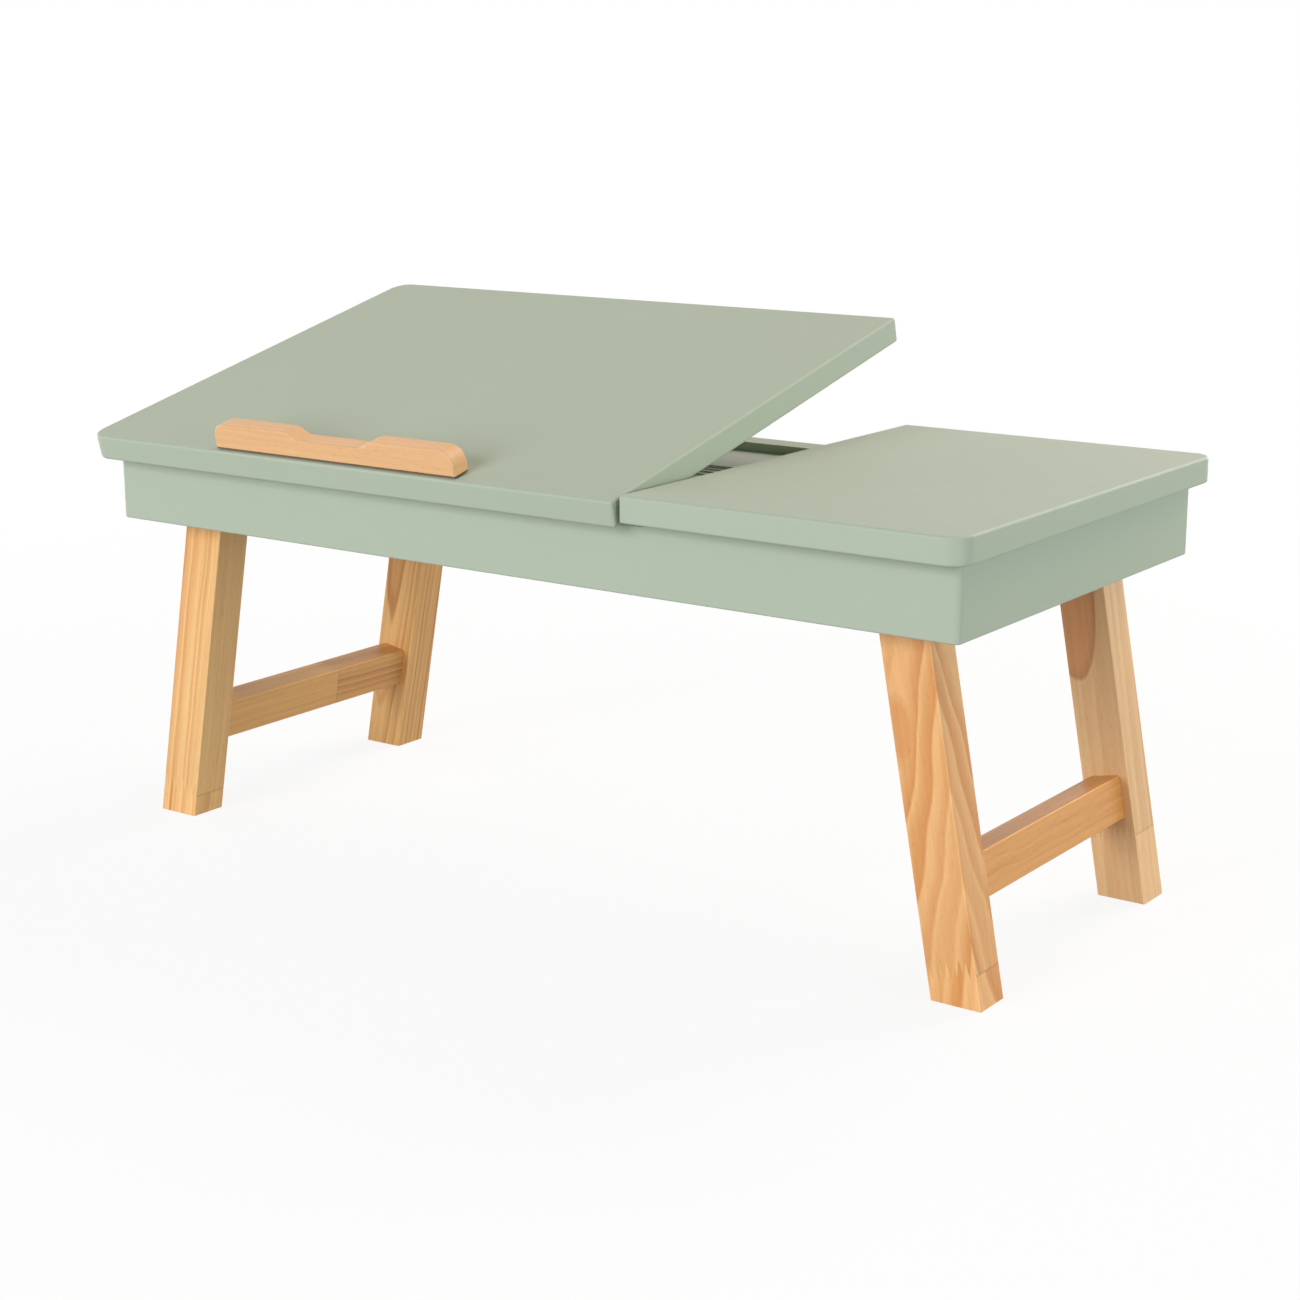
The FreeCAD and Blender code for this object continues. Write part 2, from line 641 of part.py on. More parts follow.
def book_ledge():
    """The bar along the panel's front: raised ends, a low middle, eased edges and a foot set in all round."""
    body = new_body("book_ledge")
    back = f"{panel_front()} + Sizes.ledge_setback + Sizes.ledge_depth"
    side = new_sketch(body, "side", "XZ_Plane", f"-({back})")
    base = f"({LEAF_SEAT} + Sizes.top_thickness)"
    high = f"({base} + Sizes.ledge_height)"
    low = f"({base} + Sizes.ledge_low_height)"
    waist = f"(({high} + {low}) / 2)"
    half = "(Sizes.ledge_length / 2)"
    ramp_out = f"({half} - Sizes.ledge_raised_length)"
    ramp_in = f"({ramp_out} - Sizes.ledge_ramp_length)"
    ramp_mid = f"(({ramp_out} + {ramp_in}) / 2)"
    bend_run = "(Sizes.ledge_ramp_length / 2)"
    bend_drop = "((Sizes.ledge_height - Sizes.ledge_low_height) / 2)"
    bend = f"(({bend_run} ^ 2 + {bend_drop} ^ 2) / (2 * {bend_drop}))"
    shoulder = f"({high} - Sizes.ledge_end_radius)"
    end_x = f"({half} - Sizes.ledge_end_radius)"

    def at(sign, distance):
        """A place along the panel, to the right (1) or left (-1) of its middle."""
        return f"({PANEL_MIDDLE} + {sign} * {distance})"

    outline(side, [
        (at(-1, half), base),
        (at(1, half), base),
        (at(1, half), shoulder),
        (at(1, end_x), high, at(1, end_x), shoulder, "left"),
        (at(1, ramp_out), high),
        (at(1, ramp_mid), waist, at(1, ramp_out), f"({high} - {bend})", "left"),
        (at(1, ramp_in), low, at(1, ramp_in), f"({low} + {bend})", "right"),
        (at(-1, ramp_in), low),
        (at(-1, ramp_mid), waist, at(-1, ramp_in), f"({low} + {bend})", "right"),
        (at(-1, ramp_out), high, at(-1, ramp_out), f"({high} - {bend})", "left"),
        (at(-1, end_x), high),
        (at(-1, half), shoulder, at(-1, end_x), shoulder, "left"),
    ])
    bar = pad(body, side, "Sizes.ledge_depth")
    foot = number(base)
    faces = (number(back), number(f"{back} - Sizes.ledge_depth"))

    def on_face(edge):
        """Edges round the front and back faces, but not along the foot."""
        flat = any(all(same(end.Y, face) for end in edge.Vertexes) for face in faces)
        return flat and not all(same(end.Z, foot) for end in edge.Vertexes)

    fillet(body, bar, "Sizes.ledge_edge_radius", on_face)
    front = f"({back} - Sizes.ledge_depth)"
    rebate = new_sketch(body, "foot_rebate", "XY_Plane", base)
    rectangle(rebate, at(-1, f"({half} + Sizes.overrun)"), f"{front} - Sizes.overrun",
              at(1, f"({half} + Sizes.overrun)"), f"{back} + Sizes.overrun")
    rectangle(rebate, at(-1, f"({half} - Sizes.ledge_foot_inset)"), f"{front} + Sizes.ledge_foot_inset",
              at(1, f"({half} - Sizes.ledge_foot_inset)"), f"{back} - Sizes.ledge_foot_inset")
    pocket(body, rebate, "Sizes.ledge_foot_height", along=True)
    holes = new_sketch(body, "screw_holes", "XY_Plane", base)
    circles(holes, [(x, ledge_screw_line()) for x in ledge_screw_places()],
            "Sizes.ledge_screw_radius + Sizes.glue_fit")
    pocket(body, holes, "Sizes.ledge_screw_bite", along=True)
    return keep(on_panel(body), "book_ledge")


def ledge_screws():
    """Countersunk screws driven up through the panel into the ledge."""
    length = "(Sizes.top_thickness + Sizes.ledge_screw_bite)"
    screws = [countersunk_screw(f"ledge_screw_{count}", "Sizes.ledge_screw_radius",
                                "Sizes.ledge_screw_head_radius", length, x, ledge_screw_line(),
                                LEAF_SEAT, upward=True)
              for count, x in enumerate(ledge_screw_places())]
    return on_panel(group("ledge_screws", screws))


# Panel hinge


def hinge_screw_places():
    """Places along the table of the hinge's screws."""
    return spread(PANEL_MIDDLE, HINGE_LENGTH, HINGE_SCREW_COUNT)


def hinge_leaf(label, side, first_slot, knuckles):
    """A long hinge leaf under (side -1) or over (side 1) the hinge line, with every second knuckle."""
    body = new_body(label)
    start = f"({PANEL_MIDDLE} - {HINGE_LENGTH} / 2)"
    pitch = f"({HINGE_LENGTH} / {2 * KNUCKLE_PAIRS + 1})"
    outer = f"{side} * Sizes.knuckle_radius"
    inner = f"{side} * (Sizes.knuckle_radius - Sizes.leaf_thickness)"
    root = "(Sizes.knuckle_radius + Sizes.move_gap)"
    plate = new_sketch(body, "plate", "YZ_Plane", start)
    seat = f"{side} * {LEAF_SEAT}"
    face = f"{side} * ({LEAF_SEAT} - Sizes.leaf_thickness)"
    low, high = (seat, face) if side < 0 else (face, seat)
    rectangle(plate, root, low, "Sizes.leaf_width", high)
    pad(body, plate, HINGE_LENGTH)

    curl = new_sketch(body, "knuckle", "YZ_Plane", f"{start} + {pitch} * {first_slot} + Sizes.knuckle_gap / 2")
    meet = "sqrt(Sizes.knuckle_radius ^ 2 - (Sizes.knuckle_radius - Sizes.leaf_thickness) ^ 2)"
    away, back = ("right", "right") if side < 0 else ("left", "left")
    outline(curl, [
        ("0", outer),
        ("0", f"{-side} * Sizes.knuckle_radius", "0", "0", away),
        (meet, inner, "0", "0", back),
        (f"{root} + Sizes.leaf_thickness", inner),
        (f"{root} + Sizes.leaf_thickness", outer),
    ])
    circles(curl, [("0", "0")], "Sizes.hinge_pin_radius + Sizes.run_fit")
    knuckle = pad(body, curl, f"{pitch} - Sizes.knuckle_gap")
    row = body.newObject("PartDesign::LinearPattern", f"{label}_knuckles")
    row.Originals = [knuckle]
    row.Direction = (next(part for part in body.Origin.OriginFeatures if part.Role == "X_Axis"), [""])
    row.Occurrences = knuckles
    row.setExpression("Length", f"2 * {pitch} * {knuckles - 1}")
    body.Tip = row
    doc.recompute()

    for count, x in enumerate(hinge_screw_places()):
        sink = body.newObject("PartDesign::SubtractiveCone", f"{label}_countersink_{count}")
        narrow = "Sizes.hinge_screw_radius + Sizes.glue_fit"
        wide = "Sizes.hinge_screw_radius + Sizes.leaf_thickness + Sizes.glue_fit"
        sink.setExpression("Radius1", narrow if side < 0 else wide)
        sink.setExpression("Radius2", wide if side < 0 else narrow)
        sink.setExpression("Height", "Sizes.leaf_thickness")
        place(sink, x, "Sizes.hinge_screw_inset", low)
        doc.recompute()
    return keep(body, label)


def hinge_screws(label, upward):
    """A row of countersunk screws, driven down into the apron or up into the panel."""
    level = f"({LEAF_SEAT} - Sizes.leaf_thickness)"
    screws = [countersunk_screw(f"{label}_{count}", "Sizes.hinge_screw_radius",
                                "(Sizes.hinge_screw_radius + Sizes.leaf_thickness)",
                                "(Sizes.hinge_screw_length + Sizes.leaf_thickness)", x,
                                "Sizes.hinge_screw_inset", level if upward else f"-{level}", upward)
              for count, x in enumerate(hinge_screw_places())]
    return group(label, screws)


def panel_hinge():
    """The long hinge: two leaves, their screws, and the pin through the knuckles."""
    place(hinge_leaf("hinge_frame_leaf", -1, 0, KNUCKLE_PAIRS + 1), y=HINGE_Y, z=HINGE_Z)
    on_panel(hinge_leaf("hinge_panel_leaf", 1, 1, KNUCKLE_PAIRS))
    place(hinge_screws("hinge_frame_screws", False), y=HINGE_Y, z=HINGE_Z)
    on_panel(hinge_screws("hinge_panel_screws", True))
    start = f"{PANEL_MIDDLE} - {HINGE_LENGTH} / 2"
    keep(rod("hinge_pin", "Sizes.hinge_pin_radius", HINGE_LENGTH, x=start, y=HINGE_Y, z=HINGE_Z,
             along="x"), "hinge_pin")


# Wire bail


def prop_bail():
    """The bent wire bail, drawn lying back from its pivot line, with journals turned on its ends."""
    body = new_body("prop_bail")
    arm = "(Sizes.bail_width / 2)"
    bend = "Sizes.bail_bend_radius"
    outer = f"({arm} + {bend})"
    inner = f"({arm} - {bend})"
    reach = BAIL_REACH
    end = f"({outer} + Sizes.bail_neck)"
    path = new_sketch(body, "path", "XY_Plane")
    outline(path, [
        (f"-{end}", "0"),
        (f"-{outer}", "0"),
        (f"-{arm}", bend, f"-{outer}", bend, "left"),
        (f"-{arm}", f"({reach} - {bend})"),
        (f"-{inner}", reach, f"-{inner}", f"({reach} - {bend})", "right"),
        (inner, reach),
        (arm, f"({reach} - {bend})", inner, f"({reach} - {bend})", "right"),
        (arm, bend),
        (outer, "0", outer, bend, "left"),
        (end, "0"),
    ], closed=False)
    section = new_sketch(body, "section", "YZ_Plane", f"-{end}")
    circles(section, [("0", "0")], "Sizes.wire_radius")
    doc.recompute()
    wire = body.newObject("PartDesign::AdditivePipe", "bail_wire")
    wire.Profile = section
    wire.Spine = (path, [f"Edge{count}" for count in range(1, len(path.Shape.Edges) + 1)])
    doc.recompute()
    for name, side in (("left", -1), ("right", 1)):
        journal = new_sketch(body, f"{name}_journal", "YZ_Plane", f"{side} * {end}")
        circles(journal, [("0", "0")], "Sizes.journal_radius")
        pad(body, journal, "Sizes.journal_length", against=side < 0)
    tilt = "Sizes.rest_tilt"
    place(body, PANEL_MIDDLE,
          f"{HINGE_Y} + {reach} * cos({tilt}) + {BAIL_DROP} * sin({tilt})",
          f"{HINGE_Z} + {reach} * sin({tilt}) - {BAIL_DROP} * cos({tilt})",
          axis=(1, 0, 0), angle=f"-{tilt}")
    return keep(body, "prop_bail")


def prop_saddle(count, x):
    """A strap screwed to the panel, bent round one of the bail's journals."""
    body = new_body(f"prop_saddle_{count}")
    side = new_sketch(body, "side", "YZ_Plane", f"{x} - Sizes.saddle_width / 2")
    seat = LEAF_SEAT
    sheet_face = f"({seat} - Sizes.saddle_thickness)"
    bore = "(Sizes.journal_radius + Sizes.run_fit)"
    skin = f"({bore} + Sizes.saddle_thickness)"
    tip = f"({skin} + Sizes.saddle_flange)"
    line = BAIL_REACH
    centre = f"(-{BAIL_DROP})"

    def at(sign, distance):
        """A place in front of (-1) or behind (1) the journal."""
        return f"({line} + {sign} * {distance})"

    outline(side, [
        (at(-1, tip), seat),
        (at(-1, tip), sheet_face),
        (at(-1, skin), sheet_face),
        (at(-1, skin), centre),
        (at(1, skin), centre, line, centre, "left"),
        (at(1, skin), sheet_face),
        (at(1, tip), sheet_face),
        (at(1, tip), seat),
        (at(1, bore), seat),
        (at(1, bore), centre),
        (at(-1, bore), centre, line, centre, "right"),
        (at(-1, bore), seat),
    ])
    pad(body, side, "Sizes.saddle_width")
    holes = new_sketch(body, "holes", "XY_Plane", sheet_face)
    circles(holes, [(x, y) for y in saddle_screw_lines()], "Sizes.saddle_screw_radius + Sizes.glue_fit")
    pocket(body, holes, along=True)
    return body


def saddle_screws():
    """Pan-headed screws through the saddles' flanges into the panel."""
    screws = []
    face = f"({LEAF_SEAT} - Sizes.saddle_thickness)"
    for x in saddle_places():
        for y in saddle_screw_lines():
            name = f"saddle_screw_{len(screws)}"
            head = rod(f"{name}_head", "Sizes.saddle_screw_head_radius", "Sizes.saddle_screw_head_height",
                       x, y, f"{face} - Sizes.saddle_screw_head_height")
            shank = rod(f"{name}_shank", "Sizes.saddle_screw_radius",
                        "Sizes.saddle_thickness + Sizes.saddle_screw_length", x, y, face)
            screw = doc.addObject("Part::Fuse", name)
            screw.Base = head
            screw.Tool = shank
            screws.append(screw)
    return on_panel(group("saddle_screws", screws))


# Leg frames


def leg(label, side, end):
    """A leg of the left (side -1) or right (side 1) frame, at the front (end -1) or back (end 1)."""
    body = new_body(label)
    profile = new_sketch(body, "profile", "XZ_Plane", f"{-end} * {LEG_FACE if end < 0 else LEG_BACK}")
    half = "(Sizes.leg_width / 2)"
    splay = "Sizes.leg_splay"
    turn = "right" if side > 0 else "left"
    # the top is cut level outside the pivot, as a stop, and rounded about the pivot inside it
    stop = f"({half} * (1 - sin({splay})) / cos({splay}))"
    toe = f"((-{PIVOT_Z} - {half} * sin({splay})) / cos({splay}))"
    heel = f"((-{PIVOT_Z} + {half} * sin({splay})) / cos({splay}))"
    outline(profile, [
        (f"{-side} * {half}", heel),
        (f"{-side} * {half}", "0"),
        (f"{side} * {half} * sin({splay})", f"({half} * cos({splay}))", "0", "0", turn),
        (f"{side} * {half}", stop),
        (f"{side} * {half}", toe),
    ])
    post = pad(body, profile, "Sizes.leg_thickness", against=True)
    fillet(body, post, "Sizes.leg_edge_radius", lambda edge: edge.BoundBox.ZLength > number("Sizes.leg_width"))

    level = f"{-end} * {LEG_BACK}"
    bush_hole = new_sketch(body, "bush_hole", "XZ_Plane", level)
    circles(bush_hole, [("0", "0")], "Sizes.bush_radius + Sizes.glue_fit")
    pocket(body, bush_hole, along=end < 0)
    head_hole = new_sketch(body, "head_hole", "XZ_Plane", level)
    circles(head_hole, [("0", "0")], "Sizes.bolt_head_radius + Sizes.counterbore_clearance")
    pocket(body, head_hole, "Sizes.bolt_counterbore", along=end < 0)
    dowel_holes = new_sketch(body, "dowel_holes", "XZ_Plane", level)
    circles(dowel_holes, stretcher_dowel_places(), "Sizes.stretcher_dowel_radius + Sizes.glue_fit")
    pocket(body, dowel_holes, "Sizes.dowel_length / 2", along=end < 0)
    return keep(on_leg(body, side), label)


def stretcher_dowel_places():
    """Places of the dowels in a stretcher's end, measured from the leg pivot."""
    return [("0", f"({STRETCHER_MIDDLE} + {sign} * Sizes.stretcher_dowel_spacing / 2)") for sign in (-1, 1)]


def stretcher(label, side):
    """The rail between the two legs of a frame."""
    body = new_body(label)
    profile = new_sketch(body, "profile", "XZ_Plane", LEG_BACK)
    rectangle(profile, "-Sizes.stretcher_thickness / 2", f"{STRETCHER_MIDDLE} - Sizes.stretcher_height / 2",
              "Sizes.stretcher_thickness / 2", f"{STRETCHER_MIDDLE} + Sizes.stretcher_height / 2")
    rail = pad(body, profile, f"2 * {LEG_BACK}", against=True)
    fillet(body, rail, "Sizes.stretcher_edge_radius",
           lambda edge: same(edge.BoundBox.YLength, number(f"2 * {LEG_BACK}")))
    for name, end in (("front", -1), ("back", 1)):
        holes = new_sketch(body, f"{name}_holes", "XZ_Plane", f"{-end} * {LEG_BACK}")
        circles(holes, stretcher_dowel_places(), "Sizes.stretcher_dowel_radius + Sizes.glue_fit")
        pocket(body, holes, "Sizes.dowel_length / 2", along=end > 0)
    return keep(on_leg(body, side), label)


def stretcher_dowels(label, side):
    """Dowels between a stretcher and its legs."""
    pins = []
    for end in (-1, 1):
        for x, z in stretcher_dowel_places():
            start = f"{end} * ({LEG_BACK} + Sizes.dowel_length / 2)"
            pins.append(rod(f"{label}_{len(pins)}", "Sizes.stretcher_dowel_radius", "Sizes.dowel_length",
                            x=x, y=start, z=z, along="-y" if end > 0 else "y"))
    return on_leg(group(label, pins), side)


def leg_bushes(label, side):
    """Sleeves in the two legs of a frame, which turn on the pivot bolts."""
    sleeves = [tube(f"{label}_{name}", "Sizes.bush_radius", "(Sizes.bolt_radius + Sizes.run_fit)",
                    f"({LEG_FACE} - {BOLT_SEAT})", y=f"{end} * {LEG_FACE}", along="-y" if end > 0 else "y")
               for name, end in (("front", -1), ("back", 1))]
    return on_leg(group(label, sleeves), side)


def pivot_hardware():
    """Bolts, threaded inserts and spacers at the four leg pivots, fixed to the apron."""
    bolts, inserts, spacers = [], [], []
    for side in (-1, 1):
        for end in (-1, 1):
            count = len(bolts)
            outward, inward = ("y", "-y") if end > 0 else ("-y", "y")
            spot = {"x": f"{side} * {PIVOT_X}", "z": PIVOT_Z}
            seat = f"({BOLT_SEAT} - Sizes.move_gap)"
            head = rod(f"bolt_{count}_head", "Sizes.bolt_head_radius", "Sizes.bolt_head_height",
                       y=f"{end} * {seat}", along=inward, **spot)
            shank = rod(f"bolt_{count}_shank", "Sizes.bolt_radius",
                        f"({INNER_FACE} + Sizes.insert_length - {seat})", y=f"{end} * {seat}",
                        along=outward, **spot)
            bolt = doc.addObject("Part::Fuse", f"bolt_{count}")
            bolt.Base = head
            bolt.Tool = shank
            bolts.append(bolt)
            inserts.append(tube(f"insert_{count}", "Sizes.insert_radius", "(Sizes.bolt_radius + Sizes.glue_fit)",
                                "Sizes.insert_length", y=f"{end} * {INNER_FACE}", along=outward, **spot))
            spacers.append(tube(f"spacer_{count}", "Sizes.spacer_radius", "(Sizes.bolt_radius + Sizes.glue_fit)",
                                "(Sizes.leg_side_gap - Sizes.move_gap)", y=f"{end} * {INNER_FACE}",
                                along=inward, **spot))
    group("pivot_bolts", bolts)
    group("pivot_inserts", inserts)
    group("pivot_spacers", spacers)


def leg_frame(name, side):
    """One folding frame: two legs, a stretcher, its dowels and the pivot sleeves."""
    leg(f"{name}_front_leg", side, -1)
    leg(f"{name}_back_leg", side, 1)
    stretcher(f"{name}_stretcher", side)
    stretcher_dowels(f"{name}_stretcher_dowels", side)
    leg_bushes(f"{name}_leg_bushes", side)


def build():
    """Make every piece of the table."""
    long_apron("front_apron", -1)
    long_apron("back_apron", 1)
    end_apron("left_apron", -1)
    end_apron("right_apron", 1)
    apron_dowels()
    support_board()
    fixed_top()
    fixed_top_dowels()
    panel_hinge()
    tilt_panel()
    book_ledge()
    ledge_screws()
    on_panel(group("prop_saddles", [prop_saddle(count, x) for count, x in enumerate(saddle_places())]))
    saddle_screws()
    prop_bail()
    pivot_hardware()
    leg_frame("left", -1)
    leg_frame("right", 1)


def check():
    """Stop if any object failed, or any piece is empty or not a valid solid."""
    doc.recompute()
    for item in doc.Objects:
        if "Invalid" in item.State or "Error" in item.State:
            raise RuntimeError(f"{item.Label} failed: {item.State}")
    for piece in subparts:
        if piece.Shape.isNull() or not piece.Shape.isValid() or not piece.Shape.Solids:
            raise RuntimeError(f"{piece.Label} has no valid solid")


build()
check()
os.makedirs("parts", exist_ok=True)
for piece in subparts:
    piece.Shape.exportStep(f"parts/{piece.Label}.step")
    print(f"{piece.Label}: {len(piece.Shape.Solids)} solids, {piece.Shape.Volume:.0f} cubic mm")
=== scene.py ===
"""Looks of a folding laptop table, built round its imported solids.

The solids carry the shapes. This script gives each of them its finish, models the fasteners that show, and
sets up the studio and the camera. The frame, the lamps and the camera are in metres. Fasteners, their
places on the piece that carries them, and the grain of a finish are in millimetres.
"""

from __future__ import annotations

import json
import logging
import math
from dataclasses import dataclass, fields, replace
from enum import Enum
from typing import Callable, ClassVar, Sequence, Union

import bmesh
import bpy
from mathutils import Matrix, Vector

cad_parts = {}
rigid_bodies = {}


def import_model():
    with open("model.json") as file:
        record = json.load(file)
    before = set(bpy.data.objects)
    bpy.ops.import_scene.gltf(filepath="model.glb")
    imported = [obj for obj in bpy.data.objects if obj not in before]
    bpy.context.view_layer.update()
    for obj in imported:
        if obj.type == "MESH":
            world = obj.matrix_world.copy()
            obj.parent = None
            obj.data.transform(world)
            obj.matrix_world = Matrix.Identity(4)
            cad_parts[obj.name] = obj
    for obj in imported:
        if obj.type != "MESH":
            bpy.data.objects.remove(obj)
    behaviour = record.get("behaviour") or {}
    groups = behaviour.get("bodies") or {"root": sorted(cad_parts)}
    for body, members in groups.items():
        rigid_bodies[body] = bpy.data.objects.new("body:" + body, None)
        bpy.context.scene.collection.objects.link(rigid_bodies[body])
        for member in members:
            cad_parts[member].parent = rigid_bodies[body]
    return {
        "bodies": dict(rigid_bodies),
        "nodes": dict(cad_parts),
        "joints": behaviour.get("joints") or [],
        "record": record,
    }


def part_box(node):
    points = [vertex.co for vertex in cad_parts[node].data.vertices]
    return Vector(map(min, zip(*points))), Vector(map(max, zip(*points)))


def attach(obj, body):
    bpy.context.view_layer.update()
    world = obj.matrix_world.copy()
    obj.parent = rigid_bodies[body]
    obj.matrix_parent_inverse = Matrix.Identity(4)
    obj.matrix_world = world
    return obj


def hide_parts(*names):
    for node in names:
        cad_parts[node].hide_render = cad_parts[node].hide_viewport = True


LOG = logging.getLogger("laptop_table")

MM = 0.001
RIGHT_ANGLE = 90.0
UP = Vector((0.0, 0.0, 1.0))
ZERO = (0.0, 0.0, 0.0)
WHITE = (1.0, 1.0, 1.0, 1.0)

Plug = bpy.types.NodeSocket
Plugs = dict[str, Plug]
Number = Union[float, Plug]
Triple = tuple[float, float, float]
Colour = tuple[float, float, float, float]
Steps = tuple[tuple[float, float], ...]


class Side(Enum):
    """The left or right leg frame, by the sign of its X."""

    LEFT = -1
    RIGHT = 1


class End(Enum):
    """The front or back of the table, by the sign of its Y."""

    FRONT = -1
    BACK = 1


class HeadForm(Enum):
    """A screw head's form, by its steps: rise as a share of the head's height, and change of width."""

    COUNTERSUNK = ((0.88, 1.0), (0.072, 1.0), (0.048, 0.97))
    PAN = ((0.0, 1.0), (0.45, 1.0), (0.30, 0.93), (0.17, 0.82), (0.08, 0.70))


def colour(red: int, green: int, blue: int) -> Colour:
    """Turn a display colour into the linear one that a shader takes.

    Args:
        red: Red from 0 to 255.
        green: Green from 0 to 255.
        blue: Blue from 0 to 255.

    Returns:
        The linear colour, with an alpha of one.
    """
    full, low_end, slope, offset, power = 255.0, 0.04045, 12.92, 0.055, 2.4
    out = []
    for part in (red, green, blue):
        share = part / full
        out.append(share / slope if share <= low_end else ((share + offset) / (1 + offset)) ** power)
    return (out[0], out[1], out[2], 1.0)


# Node trees


class Wiring:
    """A shader node tree while it is being wired."""

    rim_start = (0.28, 0.55)
    rim_end = (0.80, 0.95)
    grey = 0.5

    def __init__(self, tree: bpy.types.NodeTree) -> None:
        """Start from an empty tree."""
        self.tree = tree
        self.tree.nodes.clear()

    def add(self, kind: str, **settings: object) -> bpy.types.Node:
        """Add a node and set its properties.

        Args:
            kind: The node's type name, without the leading ShaderNode.
            settings: Properties to set on the node.

        Returns:
            The new node.
        """
        node = self.tree.nodes.new(f"ShaderNode{kind}")
        for name, value in settings.items():
            setattr(node, name, value)
        return node

    def feed(self, socket: Plug, value: object) -> None:
        """Link a socket into another one, or set a plain value on it.

        Args:
            socket: The socket that is fed.
            value: A socket to link in, or a plain value.
        """
        if isinstance(value, Plug):
            self.tree.links.new(value, socket)
        else:
            socket.default_value = value

    def fill(self, node: bpy.types.Node, values: dict[Union[str, int], object]) -> bpy.types.Node:
        """Link or set several inputs of a node.

        Args:
            node: The node.
            values: A socket or a plain value for each input, by the input's name or number.

        Returns:
            The same node.
        """
        for key, value in values.items():
            self.feed(node.inputs[key], value)
        return node

    def math(self, operation: str, first: Number, second: Number = 0.0, clamp: bool = False) -> Plug:
        """Combine two numbers.

        Args:
            operation: Name of the math operation.
            first: First number or socket.
            second: Second number or socket.
            clamp: Whether the result is held between zero and one.

        Returns:
            The result's socket.
        """
        node = self.add("Math", operation=operation, use_clamp=clamp)
        return self.fill(node, {0: first, 1: second}).outputs[0]

    def plus(self, first: Number, second: Number) -> Plug:
        """The sum of two numbers."""
        return self.math("ADD", first, second)

    def minus(self, first: Number, second: Number) -> Plug:
        """The difference of two numbers."""
        return self.math("SUBTRACT", first, second)

    def times(self, first: Number, second: Number) -> Plug:
        """The product of two numbers."""
        return self.math("MULTIPLY", first, second)

    def vector(self, operation: str, first: object, second: object = ZERO) -> Plug:
        """Combine two vectors, or scale one by a number.

        Args:
            operation: Name of the vector operation.
            first: First vector or socket.
            second: Second vector, or the number when the operation is SCALE.

        Returns:
            The result's socket: a number for LENGTH, otherwise a vector.
        """
        node = self.add("VectorMath", operation=operation)
        self.fill(node, {0: first, "Scale" if operation == "SCALE" else 1: second})
        return node.outputs["Value" if operation == "LENGTH" else "Vector"]

    def parts(self, vector: Plug) -> tuple[Plug, Plug, Plug]:
        """The X, Y and Z of a vector."""
        split = self.fill(self.add("SeparateXYZ"), {0: vector})
        return (split.outputs[0], split.outputs[1], split.outputs[2])

    def span(self, value: Number, low: float, high: float, to_low: float = 0.0,
             to_high: float = 1.0) -> Plug:
        """Map a number from one range to another, held inside it.

        Args:
            value: The number or socket.
            low: Start of the range that is read.
            high: End of the range that is read.
            to_low: Result at the start.
            to_high: Result at the end.

        Returns:
            The mapped number's socket.
        """
        node = self.add("MapRange", clamp=True)
        return self.fill(node, dict(enumerate((value, low, high, to_low, to_high)))).outputs[0]

    def blend(self, share: Number, first: object, second: object) -> Plug:
        """Mix two colours.

        Args:
            share: How much of the second colour there is.
            first: First colour or socket.
            second: Second colour or socket.

        Returns:
            The mixed colour's socket.
        """
        factor, colour_a, colour_b, result = 0, 6, 7, 2
        node = self.add("Mix", data_type="RGBA")
        return self.fill(node, {factor: share, colour_a: first, colour_b: second}).outputs[result]

    def noise(self, place: Plug, grain: Triple, detail: float = 2.0) -> Plug:
        """Noise in space, stretched to a grain size in each direction.

        Args:
            place: Socket of the place.
            grain: Size of the grain along X, Y and Z.
            detail: Number of finer layers.

        Returns:
            The noise's value.
        """
        scaled = self.vector("MULTIPLY", place, tuple(1.0 / size for size in grain))
        node = self.add("TexNoise", noise_dimensions="3D")
        return self.fill(node, {"Vector": scaled, "Scale": 1.0, "Detail": detail}).outputs[0]

    def line_noise(self, key: Plug, detail: float = 2.0) -> bpy.types.Node:
        """Noise along a line: its first output is a value and its second a colour."""
        node = self.add("TexNoise", noise_dimensions="1D")
        return self.fill(node, {"W": key, "Scale": 1.0, "Detail": detail})

    def chance(self, key: Plug) -> bpy.types.Node:
        """White noise for a key: its first output is a value and its second a colour."""
        return self.fill(self.add("TexWhiteNoise", noise_dimensions="1D"), {"W": key})

    def centred(self, value: Plug) -> Plug:
        """A noise's value, moved to lie about zero."""
        return self.minus(value, self.grey)

    def stray(self, noise: bpy.types.Node, reach: Number) -> Plug:
        """A noise's colour as a push in any direction, scaled to a reach."""
        return self.vector("SCALE", self.vector("SUBTRACT", noise.outputs[1], (self.grey,) * 3), reach)

    def rim(self, lean: Plug) -> Plug:
        """A mask for eased edges, where the surface leans between two faces, on which light is painted.

        Args:
            lean: The part of the surface's normal along one axis.

        Returns:
            One on the middle of an eased edge and zero on flat faces.
        """
        size = self.math("ABSOLUTE", lean)
        return self.times(self.span(size, *self.rim_start), self.span(size, *self.rim_end, 1.0, 0.0))

    def shade(self, layers: Sequence[tuple[Number, Number]]) -> Number:
        """A tone that starts at one and takes on layers.

        Args:
            layers: Mask and depth of each layer, whose product is added.

        Returns:
            The tone's socket.
        """
        tone: Number = 1.0
        for mask, depth in layers:
            tone = self.plus(tone, self.times(mask, depth))
        return tone

